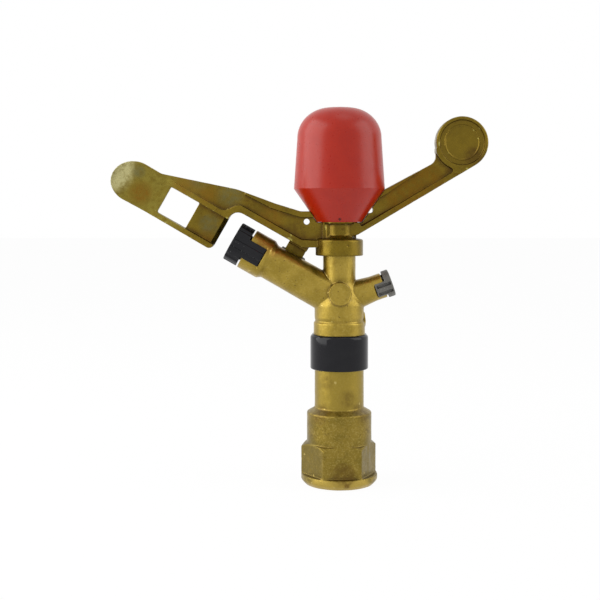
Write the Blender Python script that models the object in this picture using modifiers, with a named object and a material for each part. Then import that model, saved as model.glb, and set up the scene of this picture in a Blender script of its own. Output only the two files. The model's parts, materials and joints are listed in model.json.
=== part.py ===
"""Impact sprinkler, 3/4 inch female, full circle, two nozzles.

The riser's axis is +Z, the inlet's mouth is at z = 0, the main barrel points to -X and the striking lug
of the arm hangs on the +Y side of the barrel. Everything is in metres.
"""
import math

import bmesh
import bpy
from mathutils import Matrix, Vector

# ---------------------------------------------------------------- driving dimensions
# Clearances
SEAT_GAP = 0.0003              # between pieces that rest on each other
RUN_GAP = 0.0003               # radial, between pieces that turn in each other

# Base: female socket with flange, hexagon and cylinder
THREAD_MINOR_RADIUS = 0.01206
THREAD_DEPTH = 0.0175
MOUTH_CHAMFER = 0.0014
SOCKET_WALL = 0.00424          # outside the thread's crests
SOCKET_HEIGHT = 0.0359
SHOULDER_RISE = 0.0026
FLANGE_STEP = 0.0029           # beyond the cylinder
FLANGE_HEIGHT = 0.0054
FLANGE_CHAMFER = 0.0020
FLANGE_EDGE = 0.0008
HEX_PROUD = 0.00015            # flats beyond the cylinder
HEX_TURN = math.radians(4.6)
HEX_TOP = 0.0180
HEX_CHAMFER_RISE = 0.0028
NECK_LENGTH = 0.0256
NECK_WALL = 0.0036
NECK_FILLET = 0.0010           # at the neck's foot
FLOOR_DROP = 0.0014            # from the cylinder's top to the shoulder that the washers bear against

# Spindle tube and its washers
TUBE_RADIUS = 0.0085
TUBE_WALL = 0.0020
TUBE_DEPTH = 0.0135            # how deep the tube is set in the head
TUBE_FLANGE_STEP = 0.0023
TUBE_FLANGE_HEIGHT = 0.0030
STACK_SLACK = 0.0005           # radial, between the washer stack and its bore
WASHER_THICK = 0.0014
SEAL_THICK = 0.0018
SEAT_WASHER_THICK = 0.0010
WASHER_SHORTFALL = 0.0003      # washers above the neck, inside the neck's radius

# Sand guard and friction spring
GUARD_SLACK = 0.0003           # radial, around the neck
GUARD_WALL = 0.00185
GUARD_OVERLAP = 0.0037         # over the neck
GUARD_HEIGHT = 0.0174
GUARD_LIP_THICK = 0.0013
GUARD_EDGE_RADIUS = 0.0022
FRICTION_WIRE_RADIUS = 0.0007
FRICTION_SLACK = 0.0010        # radial, around the spindle tube
FRICTION_PITCH = 0.0021

# Head casting: band, Y of barrels, front boss and post
BODY_WALL = 0.0040
BODY_SKIRT = 0.0009            # how far the body sinks into the sand guard
BAND_STEP = 0.0005
BAND_HEIGHT = 0.0061
BARREL_RISE = 0.0166           # from the guard's top to where the barrels' axes meet the riser's
BODY_WAIST_DROP = 0.0010       # below that point the body is as wide as its wall makes it,
BODY_WAIST_RISE = 0.0085       # and it tapers to the post's radius up to here above it
CHAMBER_RADIUS = 0.0070
CHAMBER_RISE = 0.0065
CHAMBER_DOME = 0.0025
POST_RADIUS = 0.00825
POST_HEIGHT = 0.0256           # above that meeting point
BOSS_RADIUS = 0.0057
BOSS_RISE = 0.0035
BOSS_REACH = 0.0012            # beyond the body's front

MAIN_RISE = math.radians(29.5)
MAIN_LENGTH = 0.0533
MAIN_BORE_RADIUS = 0.0062
MAIN_WALL = 0.0029
MAIN_TAPER = 0.0004            # of the radius, from the tip to the root
MAIN_SEAT_STEP = 0.0009
MAIN_SEAT_DEPTH = 0.0150
MAIN_COLLAR_WALL = 0.0034
MAIN_COLLAR_LENGTH = 0.0110
MAIN_COLLAR_SLOPE = 0.0022

SIDE_RISE = math.radians(19.6)
SIDE_LENGTH = 0.0236
SIDE_BORE_RADIUS = 0.0030
SIDE_SEAT_STEP = 0.0011
SIDE_SEAT_DEPTH = 0.0075
SIDE_WALL = 0.0023
SIDE_TAPER = 0.0020
SIDE_TIP_LENGTH = 0.0056       # straight part at the tip

# Nozzles
NOZZLE_STAND_OFF = 0.0007      # gap between a barrel's end and its nozzle's cap
MAIN_CAP_LENGTH = 0.0074
MAIN_CAP_DROP = 0.00025        # cap's radius below the barrel's collar
MAIN_SPIGOT_LENGTH = 0.0146
MAIN_INLET_RADIUS = 0.0052
MAIN_OUTLET_RADIUS = 0.0024
MAIN_RING_DEPTH = 0.0110       # of the O-ring, from the barrel's end
MAIN_LOBE_LENGTH = 0.0096
MAIN_LOBE_WIDTH = 0.0126
MAIN_LOBE_THICK = 0.0015
SIDE_CAP_LENGTH = 0.0035
SIDE_CAP_STEP = 0.00045        # cap's radius beyond the barrel's tip
SIDE_SPIGOT_LENGTH = 0.0078
SIDE_INLET_RADIUS = 0.0022
SIDE_OUTLET_RADIUS = 0.0014
SIDE_RING_DEPTH = 0.0044
SIDE_LOBE_LENGTH = 0.0053
SIDE_LOBE_WIDTH = 0.0080
SIDE_LOBE_THICK = 0.0011
SIDE_LOBE_TURN = math.radians(11.0)
LOBE_ROOT = 0.0010             # how far the lobes run into the cap
LOBE_STEP = 0.0001             # of their outer faces below the cap's
OUTLET_MARGIN = 0.0022         # flat ring round a nozzle's outlet
OUTLET_RECESS = 0.0008
OUTLET_LENGTH = 0.0040         # straight part of the outlet
SLOT_WIDTH = 0.0013
SLOT_DEPTH = 0.0008
SLOT_OFFSET = 0.0018           # of each slot from the lobe's middle
SLOT_MARGIN = 0.0007           # left at each end of a slot
RING_WIRE_RADIUS = 0.0005      # O-rings of the nozzles
FLUTE_RADIUS = 0.00105
FLUTE_COUNT = 12
FLUTE_SEGMENTS = 10
FLUTE_LIFT = 0.0004            # flutes' axes outside the cap's surface
VANE_THICK = 0.0008
VANE_LENGTH = 0.0180
VANE_SLEEVE_WALL = 0.0006
VANE_DEPTH = 0.0010            # behind the nozzle's seat

# Arm shaft, hub and bushes
SHAFT_RADIUS = 0.0030
SHAFT_DEPTH = 0.0155           # how deep the shaft is set in the post
SHAFT_LENGTH = 0.0761
ARM_WASHER_THICK = 0.0012
BUSH_WALL = 0.0010
BUSH_LENGTH = 0.0090
BUSH_LIP_STEP = 0.0013
BUSH_LIP_THICK = 0.0010
HUB_WALL = 0.0016
HUB_LENGTH = 0.0406            # above the post
HUB_STEP = 0.0004              # thicker below the cap than inside it
COLLAR_SLACK = 0.00075         # radial, around the post
COLLAR_WALL = 0.0030
COLLAR_SKIRT = 0.0029          # how far the collar reaches below the post's top
COLLAR_HEIGHT = 0.0083
COLLAR_ROUND = 0.0011          # of the collar's upper edge
HUB_FLARE = 0.0016             # foot of the hub on the collar
HUB_FLARE_RISE = 0.0022

# Arm spring, its retainer and clip
ARM_SPRING_WIRE_RADIUS = 0.0009
ARM_SPRING_SLACK = 0.0023      # radial, around the hub
ARM_SPRING_PITCH = 0.0070
SPRING_FOOT_RISE = 0.0030      # above the cap's mouth
RETAINER_STEP = 0.0017         # beyond the spring
RETAINER_THICK = 0.0020
RETAINER_RISE = 0.0070         # above the hub
CLIP_STEP = 0.0020
CLIP_THICK = 0.0009

# Spring cap
CAP_RISE = 0.0140              # of its mouth above the post
CAP_MOUTH_STEP = 0.00475       # beyond the hub
CAP_CONE_HEIGHT = 0.0166
CAP_RADIUS = 0.0228
CAP_SIDE_HEIGHT = 0.0255
CAP_SIDE_TAPER = 0.0017
CAP_CROWN_HEIGHT = 0.0151
CAP_CROWN_RADIUS = 0.0050      # flat part of the crown
CAP_WALL = 0.0020
CAP_SOCKET_WALL = 0.0025
CAP_CLEARANCE = 0.0004         # around the cone, where the arm sweeps past
CAP_BACKING = 0.0018           # around the cone, where the arm's back keeps its full depth

# Impact arm; jet frame: s along the main jet, t square to it and up, y across
ARM_HALF_DEPTH = 0.0045
WEB_HALF_DEPTH = 0.0015
UNDERSIDE_CLEARANCE = 0.00395  # between the nozzle's cap and the arm above it
UNDERSIDE_START = 0.0292       # where the underside leaves the hub and follows the barrel
UNDERSIDE_CORNER = 0.0050
POCKET_ROUND = 0.0045
POCKET_RIB = 0.0026            # between the spoon's channel and the pocket above it
POCKET_START = 0.0023          # from the start of the underside to the pocket's corner
POCKET_TOP = 0.0010            # from the leading edge back to where the pocket's upper rib ends
POCKET_NOSE = 0.0040           # from the leading edge to the pocket's corner above the spoon
POCKET_END = 0.0389            # from the leading edge to the pocket's point
POCKET_STEP = 0.0002           # of the pocket's floor behind the channel's
WEB_END = 0.0050               # from the leading edge back to where the pockets' floors start to rise
HUB_UNDERSIDE_RISE = 0.0014    # above the post
HUB_OVERLAP = 0.0023           # how far each bar runs past the shaft's axis inside the hub
HUB_RIB_HALF_DEPTH = 0.0040    # ribs up both sides of the hub
HUB_RIB_LEFT = 0.0083
HUB_RIB_RIGHT = 0.0086
HUB_STEP_DROP = 0.0002         # of the hub's step below the room for the cap
ARM_TOP_RISE = 0.0194          # above the post
ARM_TOP_REACH = 0.0195         # from the shaft's axis to where the top edge starts to climb
ARM_ROUND = 0.0060             # of the top edge's and the pockets' corners
CREST_ROOT = Vector((-0.0162, 0.0267))  # corners of the top edge: s from the spoon's leading edge, t
CREST_TIP = Vector((0.0038, 0.0235))
CREST_END = 0.0410             # from the leading edge to where the top edge meets the spoon's top
CREST_ROUND = 0.0200
LOWER_RIB = 0.0033
UPPER_RIB = 0.0031
SPOON_GAP = 0.0071             # from the nozzle's face to the spoon's leading edge
SPOON_LOW = -0.0093
SPOON_RADIUS = 0.01035
SPOON_LENGTH = 0.0612
SPOON_RIB_LOW = 0.0028
SPOON_RIB_HIGH = 0.00325
SPOON_EDGE_ROUND = 0.0012      # of the leading edge's lower corner
SPOON_PLATE = 0.0025
SPOON_SCOOP_RADIUS = 0.0300
SCOOP_LENGTH = 0.0237          # curved part at the spoon's end
LEADING_BEVEL = 0.0023         # length of the bevel at the spoon's leading edge
LEADING_EDGE = 0.0006          # thickness left at the edge
WINDOW_START = 0.0170          # from the leading edge
WINDOW_LENGTH = 0.0163
WINDOW_BAR = 0.0035            # from the window to the end of the spoon's ribs
WINDOW_STEP = 0.0002           # how far the window's edges stand in from the channel's walls
LUG_START = 0.0264
LUG_LENGTH = 0.0102
LUG_THICK = 0.0042
LUG_REACH = 0.0020             # how far the lug hangs below the barrel's axis
LUG_DROP = 0.0010              # of the lug's shelf below the arm's underside
LUG_STEP = 0.0005              # of the shelf's top below the lower rib's
BUFFER_WALL = 0.0014
BUFFER_RISE = -0.0002          # of the buffer's top above the barrel's flank
EYE_RADIUS = 0.0014
LEFT_EYE = (-0.0164, 0.0141)   # from the shaft's axis and above the post
RIGHT_EYE = (0.0161, 0.0200)

WEIGHT_RISE = math.radians(30.7)
WEIGHT_REACH = 0.0682
WEIGHT_RADIUS = 0.0131
WEIGHT_RIM = 0.0017
WEIGHT_RECESS = 0.0012
WEIGHT_EDGE = 0.0006           # chamfer round the disc
WEIGHT_RING_RADIUS = 0.0090
WEIGHT_RING_HEIGHT = 0.0004
WEIGHT_ROOT_OUT = 0.0092       # where the counterweight's bar starts, from the shaft's axis
WEIGHT_ROOT_RISE = 0.0076      # and above the post
WEIGHT_BAR_HALF_DEPTH = 0.0044
WEIGHT_BAR_WIDTH_ROOT = 0.0127
WEIGHT_BAR_WIDTH_END = 0.0115
WEIGHT_RIB = 0.0028
WEIGHT_RIB_HIGH = 0.0024       # above the pocket, at the root
WEIGHT_ROOT_LENGTH = 0.0236    # where the bar starts to narrow
WEIGHT_SHELF = 0.0050          # where the bar leaves the hub
WEIGHT_POCKET_START = 0.0035
WEIGHT_POCKET_END = 0.0045     # from the pocket's end to the disc's centre, along the bar
WEIGHT_POCKET_OPEN = 0.0430    # from here to the disc the pocket has no upper rib
WEIGHT_FILLET = 0.0058         # between the bar's top and the disc
WEIGHT_RING_WIDTH = 0.0010

STEPS = 32                     # large round pieces
BARREL_STEPS = 28              # barrels, nozzles and their bores
FINE_STEPS = 24                # small round pieces
COIL_STEPS = 14                # per turn of a spring
CLOSED_PITCH = 2.15            # of a spring's end turns, times the wire's radius
EDGE = 0.0004                  # chamfer of turned and cast edges
OVERCUT = 0.0020               # how far a cutter runs past what it cuts
ARM_CUT = 0.0200               # how far cutters reach on both sides of the arm
SWEEP_LOW = -0.0300            # t between which the arm's side sections are swept
SWEEP_HIGH = 0.0600
WELD_DISTANCE = 0.00001

# ---------------------------------------------------------------- derived sizes
BASE_CYLINDER_RADIUS = THREAD_MINOR_RADIUS + SOCKET_WALL
FLANGE_RADIUS = BASE_CYLINDER_RADIUS + FLANGE_STEP
HEX_CORNER_RADIUS = (BASE_CYLINDER_RADIUS + HEX_PROUD) / math.cos(math.pi / 6.0)
BEARING_BORE_RADIUS = TUBE_RADIUS + RUN_GAP
NECK_RADIUS = BEARING_BORE_RADIUS + NECK_WALL
NECK_TOP = SOCKET_HEIGHT + NECK_LENGTH
BEARING_FLOOR = SOCKET_HEIGHT - FLOOR_DROP

TUBE_BORE_RADIUS = TUBE_RADIUS - TUBE_WALL
TUBE_FLANGE_RADIUS = TUBE_RADIUS + TUBE_FLANGE_STEP
STACK_BORE_RADIUS = TUBE_FLANGE_RADIUS + STACK_SLACK
UPPER_WASHER_TOP = BEARING_FLOOR - SEAT_GAP
SEAL_TOP = UPPER_WASHER_TOP - WASHER_THICK - SEAT_GAP
LOWER_WASHER_TOP = SEAL_TOP - SEAL_THICK - SEAT_GAP
TUBE_FLANGE_TOP = LOWER_WASHER_TOP - WASHER_THICK - SEAT_GAP

GUARD_BORE_RADIUS = NECK_RADIUS + GUARD_SLACK
GUARD_RADIUS = GUARD_BORE_RADIUS + GUARD_WALL
GUARD_BOTTOM = NECK_TOP - GUARD_OVERLAP
GUARD_TOP = GUARD_BOTTOM + GUARD_HEIGHT
BODY_BOTTOM = GUARD_TOP - BODY_SKIRT
GUARD_LIP_TOP = BODY_BOTTOM - SEAT_GAP
TUBE_TOP = BODY_BOTTOM + TUBE_DEPTH
TUBE_SEAT_RADIUS = TUBE_RADIUS + SEAT_GAP

NECK_WASHER_RADIUS = NECK_RADIUS - WASHER_SHORTFALL
NECK_WASHER_TOP = NECK_TOP + SEAT_GAP + WASHER_THICK
SEAT_WASHER_TOP = NECK_WASHER_TOP + SEAT_GAP + SEAT_WASHER_THICK
FRICTION_BOTTOM = SEAT_WASHER_TOP + SEAT_GAP
FRICTION_TOP = GUARD_LIP_TOP - GUARD_LIP_THICK - SEAT_GAP
FRICTION_RADIUS = TUBE_RADIUS + FRICTION_SLACK + FRICTION_WIRE_RADIUS

BODY_RADIUS = TUBE_RADIUS + BODY_WALL
BODY_BAND_RADIUS = BODY_RADIUS + BAND_STEP
BODY_BAND_TOP = GUARD_TOP + BAND_HEIGHT
BARREL_LEVEL = GUARD_TOP + BARREL_RISE
BOSS_LEVEL = BARREL_LEVEL + BOSS_RISE
BOSS_FACE = BODY_RADIUS + BOSS_REACH
POST_TOP = BARREL_LEVEL + POST_HEIGHT

MAIN_TIP_RADIUS = MAIN_BORE_RADIUS + MAIN_WALL
MAIN_ROOT_RADIUS = MAIN_TIP_RADIUS + MAIN_TAPER
MAIN_SEAT_RADIUS = MAIN_BORE_RADIUS + MAIN_SEAT_STEP
MAIN_SPIGOT_RADIUS = MAIN_SEAT_RADIUS - SEAT_GAP
MAIN_COLLAR_RADIUS = MAIN_SEAT_RADIUS + MAIN_COLLAR_WALL
MAIN_CAP_RADIUS = MAIN_COLLAR_RADIUS - MAIN_CAP_DROP
MAIN_CAP_FOOT = MAIN_LENGTH + NOZZLE_STAND_OFF
MAIN_FACE = MAIN_CAP_FOOT + MAIN_CAP_LENGTH

SIDE_SEAT_RADIUS = SIDE_BORE_RADIUS + SIDE_SEAT_STEP
SIDE_SPIGOT_RADIUS = SIDE_SEAT_RADIUS - SEAT_GAP
SIDE_TIP_RADIUS = SIDE_SEAT_RADIUS + SIDE_WALL
SIDE_ROOT_RADIUS = SIDE_TIP_RADIUS + SIDE_TAPER
SIDE_CAP_RADIUS = SIDE_TIP_RADIUS + SIDE_CAP_STEP
SIDE_CAP_FOOT = SIDE_LENGTH + NOZZLE_STAND_OFF
SIDE_FACE = SIDE_CAP_FOOT + SIDE_CAP_LENGTH

SHAFT_BOTTOM = POST_TOP - SHAFT_DEPTH
SHAFT_TOP = SHAFT_BOTTOM + SHAFT_LENGTH
SHAFT_BORE_RADIUS = SHAFT_RADIUS + SEAT_GAP
ARM_WASHER_TOP = POST_TOP + SEAT_GAP + ARM_WASHER_THICK
COLLAR_CEILING = ARM_WASHER_TOP + SEAT_GAP
COLLAR_BOTTOM = POST_TOP - COLLAR_SKIRT
COLLAR_TOP = COLLAR_BOTTOM + COLLAR_HEIGHT
COLLAR_BORE_RADIUS = POST_RADIUS + COLLAR_SLACK
COLLAR_RADIUS = COLLAR_BORE_RADIUS + COLLAR_WALL
BUSH_BORE_RADIUS = SHAFT_RADIUS + RUN_GAP
BUSH_RADIUS = BUSH_BORE_RADIUS + BUSH_WALL
BUSH_LIP_RADIUS = BUSH_RADIUS + BUSH_LIP_STEP
HUB_BORE_RADIUS = BUSH_RADIUS + SEAT_GAP
HUB_TUBE_RADIUS = HUB_BORE_RADIUS + HUB_WALL
HUB_RADIUS = HUB_TUBE_RADIUS + HUB_STEP
HUB_TOP = POST_TOP + HUB_LENGTH

CAP_BOTTOM = POST_TOP + CAP_RISE
CAP_MOUTH_RADIUS = HUB_RADIUS + CAP_MOUTH_STEP
CAP_CONE_TOP = CAP_BOTTOM + CAP_CONE_HEIGHT
CAP_SHOULDER = CAP_CONE_TOP + CAP_SIDE_HEIGHT
CAP_SHOULDER_RADIUS = CAP_RADIUS - CAP_SIDE_TAPER
CAP_TOP = CAP_SHOULDER + CAP_CROWN_HEIGHT
CAP_GAP_BOTTOM = CAP_BOTTOM - CAP_CLEARANCE
CAP_SOCKET_RADIUS = SHAFT_BORE_RADIUS + CAP_SOCKET_WALL

ARM_SPRING_RADIUS = HUB_TUBE_RADIUS + ARM_SPRING_SLACK + ARM_SPRING_WIRE_RADIUS
RETAINER_RADIUS = ARM_SPRING_RADIUS + ARM_SPRING_WIRE_RADIUS + RETAINER_STEP
RETAINER_BOTTOM = HUB_TOP + RETAINER_RISE
CLIP_BOTTOM = RETAINER_BOTTOM + RETAINER_THICK + SEAT_GAP
CLIP_RADIUS = SHAFT_RADIUS + CLIP_STEP
SOCKET_BOTTOM = CLIP_BOTTOM + CLIP_THICK + SEAT_GAP
SPRING_BOTTOM = CAP_BOTTOM + SPRING_FOOT_RISE
SPRING_TOP = RETAINER_BOTTOM - SEAT_GAP

UNDERSIDE = MAIN_CAP_RADIUS + UNDERSIDE_CLEARANCE
HUB_UNDERSIDE = POST_TOP + HUB_UNDERSIDE_RISE
ARM_TOP = POST_TOP + ARM_TOP_RISE
SPOON_START = MAIN_FACE + SPOON_GAP
SPOON_END = SPOON_START + SPOON_LENGTH
SPOON_HIGH = SPOON_LOW + 2.0 * SPOON_RADIUS
WINDOW_LOW = SPOON_LOW + SPOON_RIB_LOW
WINDOW_HIGH = SPOON_HIGH - SPOON_RIB_HIGH
SPOON_FLOOR = ARM_HALF_DEPTH - SPOON_PLATE
SCOOP_START = SPOON_END - SCOOP_LENGTH
WINDOW_END = SPOON_START + WINDOW_START + WINDOW_LENGTH
RIB_END = WINDOW_END + WINDOW_BAR
LUG_END = LUG_START + LUG_LENGTH
LUG_NEAR = MAIN_ROOT_RADIUS + SEAT_GAP + BUFFER_WALL + SEAT_GAP
LUG_FAR = LUG_NEAR + LUG_THICK
WEIGHT_ROOT = Vector((WEIGHT_ROOT_OUT, POST_TOP + WEIGHT_ROOT_RISE))

# ---------------------------------------------------------------- collections and helpers
for old in list(bpy.data.objects):
    bpy.data.objects.remove(old, do_unlink=True)

PARTS = bpy.data.collections.new("impact_sprinkler")
CUTTERS = bpy.data.collections.new("cutters")
bpy.context.scene.collection.children.link(PARTS)
bpy.context.scene.collection.children.link(CUTTERS)


def make_material(name, colour, roughness, metallic):
    material = bpy.data.materials.new(name)
    material.use_nodes = True
    shader = material.node_tree.nodes["Principled BSDF"]
    shader.inputs["Base Color"].default_value = (*colour, 1.0)
    shader.inputs["Roughness"].default_value = roughness
    shader.inputs["Metallic"].default_value = metallic
    return material


CAST_BRASS = make_material("cast_brass", (0.42, 0.33, 0.10), 0.45, 1.0)
ARM_BRASS = make_material("arm_brass", (0.32, 0.28, 0.08), 0.35, 1.0)
SOCKET_BRASS = make_material("socket_brass", (0.40, 0.30, 0.09), 0.55, 1.0)
TURNED_BRASS = make_material("turned_brass", (0.60, 0.46, 0.18), 0.25, 1.0)
STAINLESS = make_material("stainless", (0.55, 0.55, 0.56), 0.25, 1.0)
SPRING_STEEL = make_material("spring_steel", (0.40, 0.40, 0.42), 0.30, 1.0)
BLACK_PLASTIC = make_material("black_plastic", (0.012, 0.012, 0.015), 0.25, 0.0)
GREY_PLASTIC = make_material("grey_plastic", (0.20, 0.20, 0.18), 0.45, 0.0)
RED_PLASTIC = make_material("red_plastic", (0.50, 0.035, 0.02), 0.30, 0.0)
WHITE_PLASTIC = make_material("white_plastic", (0.75, 0.74, 0.70), 0.40, 0.0)
RUBBER = make_material("rubber", (0.02, 0.02, 0.02), 0.80, 0.0)


def add_object(name, mesh, collection, material=None):
    item = bpy.data.objects.new(name, mesh)
    collection.objects.link(item)
    if material:
        mesh.materials.append(material)
    return item


def turned(name, profile, material=None, steps=STEPS, collection=PARTS):
    """A solid of revolution about Z; the (radius, height) profile runs down its outer side.

    A profile that starts and ends on the axis makes a solid piece, any other one a ring.
    """
    mesh = bpy.data.meshes.new(name)
    solid = profile[0][0] == 0.0 and profile[-1][0] == 0.0
    count = len(profile)
    edges = [(i, i + 1) for i in range(count - 1)]
    if not solid:
        edges.append((count - 1, 0))
    mesh.from_pydata([(radius, 0.0, height) for radius, height in profile], edges, [])
    item = add_object(name, mesh, collection, material)
    screw = item.modifiers.new("turn", "SCREW")
    screw.axis = "Z"
    screw.angle = 2.0 * math.pi
    screw.steps = steps
    screw.render_steps = steps
    screw.use_merge_vertices = True
    screw.merge_threshold = 0.00001
    screw.use_smooth_shade = True
    return item


def prism(name, outline, low, high, material=None, collection=CUTTERS):
    """An outline in the XZ plane, counter-clockwise seen from -Y, from y = low to y = high."""
    return between(name, [(x, low, z) for x, z in outline], [(x, high, z) for x, z in outline],
                   material, collection)


def between(name, near_points, far_points, material=None, collection=CUTTERS):
    """A closed solid between two like outlines given as (x, y, z) points."""
    bm = bmesh.new()
    near = [bm.verts.new(point) for point in near_points]
    far = [bm.verts.new(point) for point in far_points]
    bm.faces.new(near)
    bm.faces.new(list(reversed(far)))
    count = len(near)
    for i in range(count):
        j = (i + 1) % count
        bm.faces.new((near[j], near[i], far[i], far[j]))
    bmesh.ops.recalc_face_normals(bm, faces=bm.faces)
    mesh = bpy.data.meshes.new(name)
    bm.to_mesh(mesh)
    bm.free()
    return add_object(name, mesh, collection, material)


def rounded(corners, segments=3):
    """An outline from corners (x, z, radius), each round corner as an arc."""
    outline = []
    count = len(corners)
    for i, (x, z, radius) in enumerate(corners):
        corner = Vector((x, z))
        if radius <= 0.0:
            outline.append(corner)
            continue
        before = (Vector(corners[i - 1][:2]) - corner).normalized()
        after = (Vector(corners[(i + 1) % count][:2]) - corner).normalized()
        half = before.angle(after) / 2.0
        centre = corner + (before + after).normalized() * radius / math.sin(half)
        start = corner + before * radius / math.tan(half) - centre
        end = corner + after * radius / math.tan(half) - centre
        sweep = start.angle_signed(end)
        for step in range(segments + 1):
            outline.append(centre + start @ Matrix.Rotation(sweep * step / segments, 2))
    return outline


def arc(centre, radius, start, end, segments):
    """Points on a circle, angles in degrees."""
    points = []
    for step in range(segments + 1):
        angle = math.radians(start + (end - start) * step / segments)
        points.append((centre[0] + radius * math.cos(angle), centre[1] + radius * math.sin(angle)))
    return points


def boolean(item, tool, operation):
    """Cuts, joins or intersects an object with a tool, which becomes a guide."""
    step = item.modifiers.new(operation.lower(), "BOOLEAN")
    step.operation = operation
    step.solver = "EXACT"
    step.object = tool
    tool.hide_render = True
    tool.display_type = "WIRE"
    return item


def weld(item):
    """Closes the zero-length edges that cutting leaves."""
    step = item.modifiers.new("weld", "WELD")
    step.merge_threshold = WELD_DISTANCE
    return item


def along_barrel(item, rise, towards):
    """Places an object made along +Z on a barrel's axis; towards is -1 for -X and +1 for +X."""
    item.location = (0.0, 0.0, BARREL_LEVEL)
    item.rotation_euler = (0.0, towards * (math.pi / 2.0 - rise), 0.0)
    return item


def jet(s, t):
    """Jet-frame point as a world (x, z)."""
    return Vector((
        -s * math.cos(MAIN_RISE) + t * math.sin(MAIN_RISE),
        BARREL_LEVEL + s * math.sin(MAIN_RISE) + t * math.cos(MAIN_RISE),
    ))


def jet_corners(corners):
    """Corners (s, t, radius) in the jet frame as world corners."""
    return [(*jet(s, t), radius) for s, t, radius in corners]


def ring_profile(inner, outer, low, high):
    return [(inner, high), (outer, high), (outer, low), (inner, low)]


def cylinder(name, radius, low, high, steps=STEPS, collection=CUTTERS, material=None):
    profile = [(0.0, high), (radius, high), (radius, low), (0.0, low)]
    return turned(name, profile, material, steps, collection)


def coil(name, radius, wire_radius, low, high, pitch, material):
    """A compression spring of round wire: one closed turn at each end, the pitch between them."""
    bottom = low + wire_radius
    top = high - wire_radius
    end_pitch = CLOSED_PITCH * wire_radius
    turns = 2.0 + (top - bottom - 2.0 * end_pitch) / pitch
    count = int(turns * COIL_STEPS)
    curve = bpy.data.curves.new(name, "CURVE")
    curve.dimensions = "3D"
    curve.bevel_depth = wire_radius
    curve.bevel_resolution = 1
    curve.use_fill_caps = True
    spline = curve.splines.new("POLY")
    spline.points.add(count)
    for i in range(count + 1):
        turn = turns * i / count
        if turn < 1.0:
            height = bottom + end_pitch * turn
        elif turn > turns - 1.0:
            height = top - end_pitch * (turns - turn)
        else:
            height = bottom + end_pitch + pitch * (turn - 1.0)
        angle = 2.0 * math.pi * turn
        spline.points[i].co = (radius * math.cos(angle), radius * math.sin(angle), height, 1.0)
    guide = bpy.data.objects.new(name + "_path", curve)
    CUTTERS.objects.link(guide)
    bpy.context.view_layer.update()
    depsgraph = bpy.context.evaluated_depsgraph_get()
    mesh = bpy.data.meshes.new_from_object(guide.evaluated_get(depsgraph))
    bm = bmesh.new()
    bm.from_mesh(mesh)
    bmesh.ops.remove_doubles(bm, verts=bm.verts, dist=0.00001)
    bmesh.ops.recalc_face_normals(bm, faces=bm.faces)
    bm.to_mesh(mesh)
    bm.free()
    bpy.data.objects.remove(guide)
    mesh.name = name
    mesh.materials.clear()
    return add_object(name, mesh, PARTS, material)


# ---------------------------------------------------------------- base
def make_base_socket():
    """Flange, hexagon with chamfered corners, cylinder, cone shoulder and bearing neck."""
    neck_foot = SOCKET_HEIGHT + SHOULDER_RISE
    base = turned("base_socket", [
        (0.0, NECK_TOP),
        (NECK_RADIUS - EDGE, NECK_TOP),
        (NECK_RADIUS, NECK_TOP - EDGE),
        (NECK_RADIUS, neck_foot + NECK_FILLET),
        (NECK_RADIUS + 0.3 * NECK_FILLET, neck_foot + 0.3 * NECK_FILLET),
        (NECK_RADIUS + NECK_FILLET, neck_foot),
        (BASE_CYLINDER_RADIUS - EDGE, SOCKET_HEIGHT + 0.5 * EDGE),
        (BASE_CYLINDER_RADIUS, SOCKET_HEIGHT - EDGE),
        (BASE_CYLINDER_RADIUS, FLANGE_HEIGHT),
        (FLANGE_RADIUS - FLANGE_EDGE, FLANGE_HEIGHT),
        (FLANGE_RADIUS, FLANGE_HEIGHT - FLANGE_EDGE),
        (FLANGE_RADIUS, FLANGE_CHAMFER),
        (FLANGE_RADIUS - FLANGE_CHAMFER, 0.0),
        (0.0, 0.0),
    ], SOCKET_BRASS)

    hexagon = cylinder("base_hexagon", HEX_CORNER_RADIUS, FLANGE_HEIGHT / 2.0,
                       HEX_TOP + HEX_CHAMFER_RISE, 6)
    hexagon.rotation_euler.z = math.radians(30.0) + HEX_TURN
    corner_cone = turned("base_hexagon_chamfer", [
        (0.0, HEX_TOP + HEX_CHAMFER_RISE),
        (BASE_CYLINDER_RADIUS, HEX_TOP + HEX_CHAMFER_RISE),
        (HEX_CORNER_RADIUS + EDGE, HEX_TOP),
        (HEX_CORNER_RADIUS + EDGE, 0.0),
        (0.0, 0.0),
    ], collection=CUTTERS)
    boolean(hexagon, corner_cone, "INTERSECT")
    boolean(base, hexagon, "UNION")

    bore = turned("base_bore", [
        (0.0, NECK_TOP + OVERCUT),
        (BEARING_BORE_RADIUS, NECK_TOP + OVERCUT),
        (BEARING_BORE_RADIUS, BEARING_FLOOR),
        (STACK_BORE_RADIUS, BEARING_FLOOR),
        (STACK_BORE_RADIUS, THREAD_DEPTH),
        (THREAD_MINOR_RADIUS, THREAD_DEPTH),
        (THREAD_MINOR_RADIUS, MOUTH_CHAMFER),
        (THREAD_MINOR_RADIUS + MOUTH_CHAMFER, 0.0),
        (THREAD_MINOR_RADIUS + MOUTH_CHAMFER, -OVERCUT),
        (0.0, -OVERCUT),
    ], collection=CUTTERS)
    boolean(base, bore, "DIFFERENCE")


# ---------------------------------------------------------------- spindle, washers, friction spring
def washer(name, outer, top, thickness, material):
    """A flat washer round the spindle tube."""
    return turned(name, ring_profile(BEARING_BORE_RADIUS, outer, top - thickness, top), material,
                  FINE_STEPS)


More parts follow.
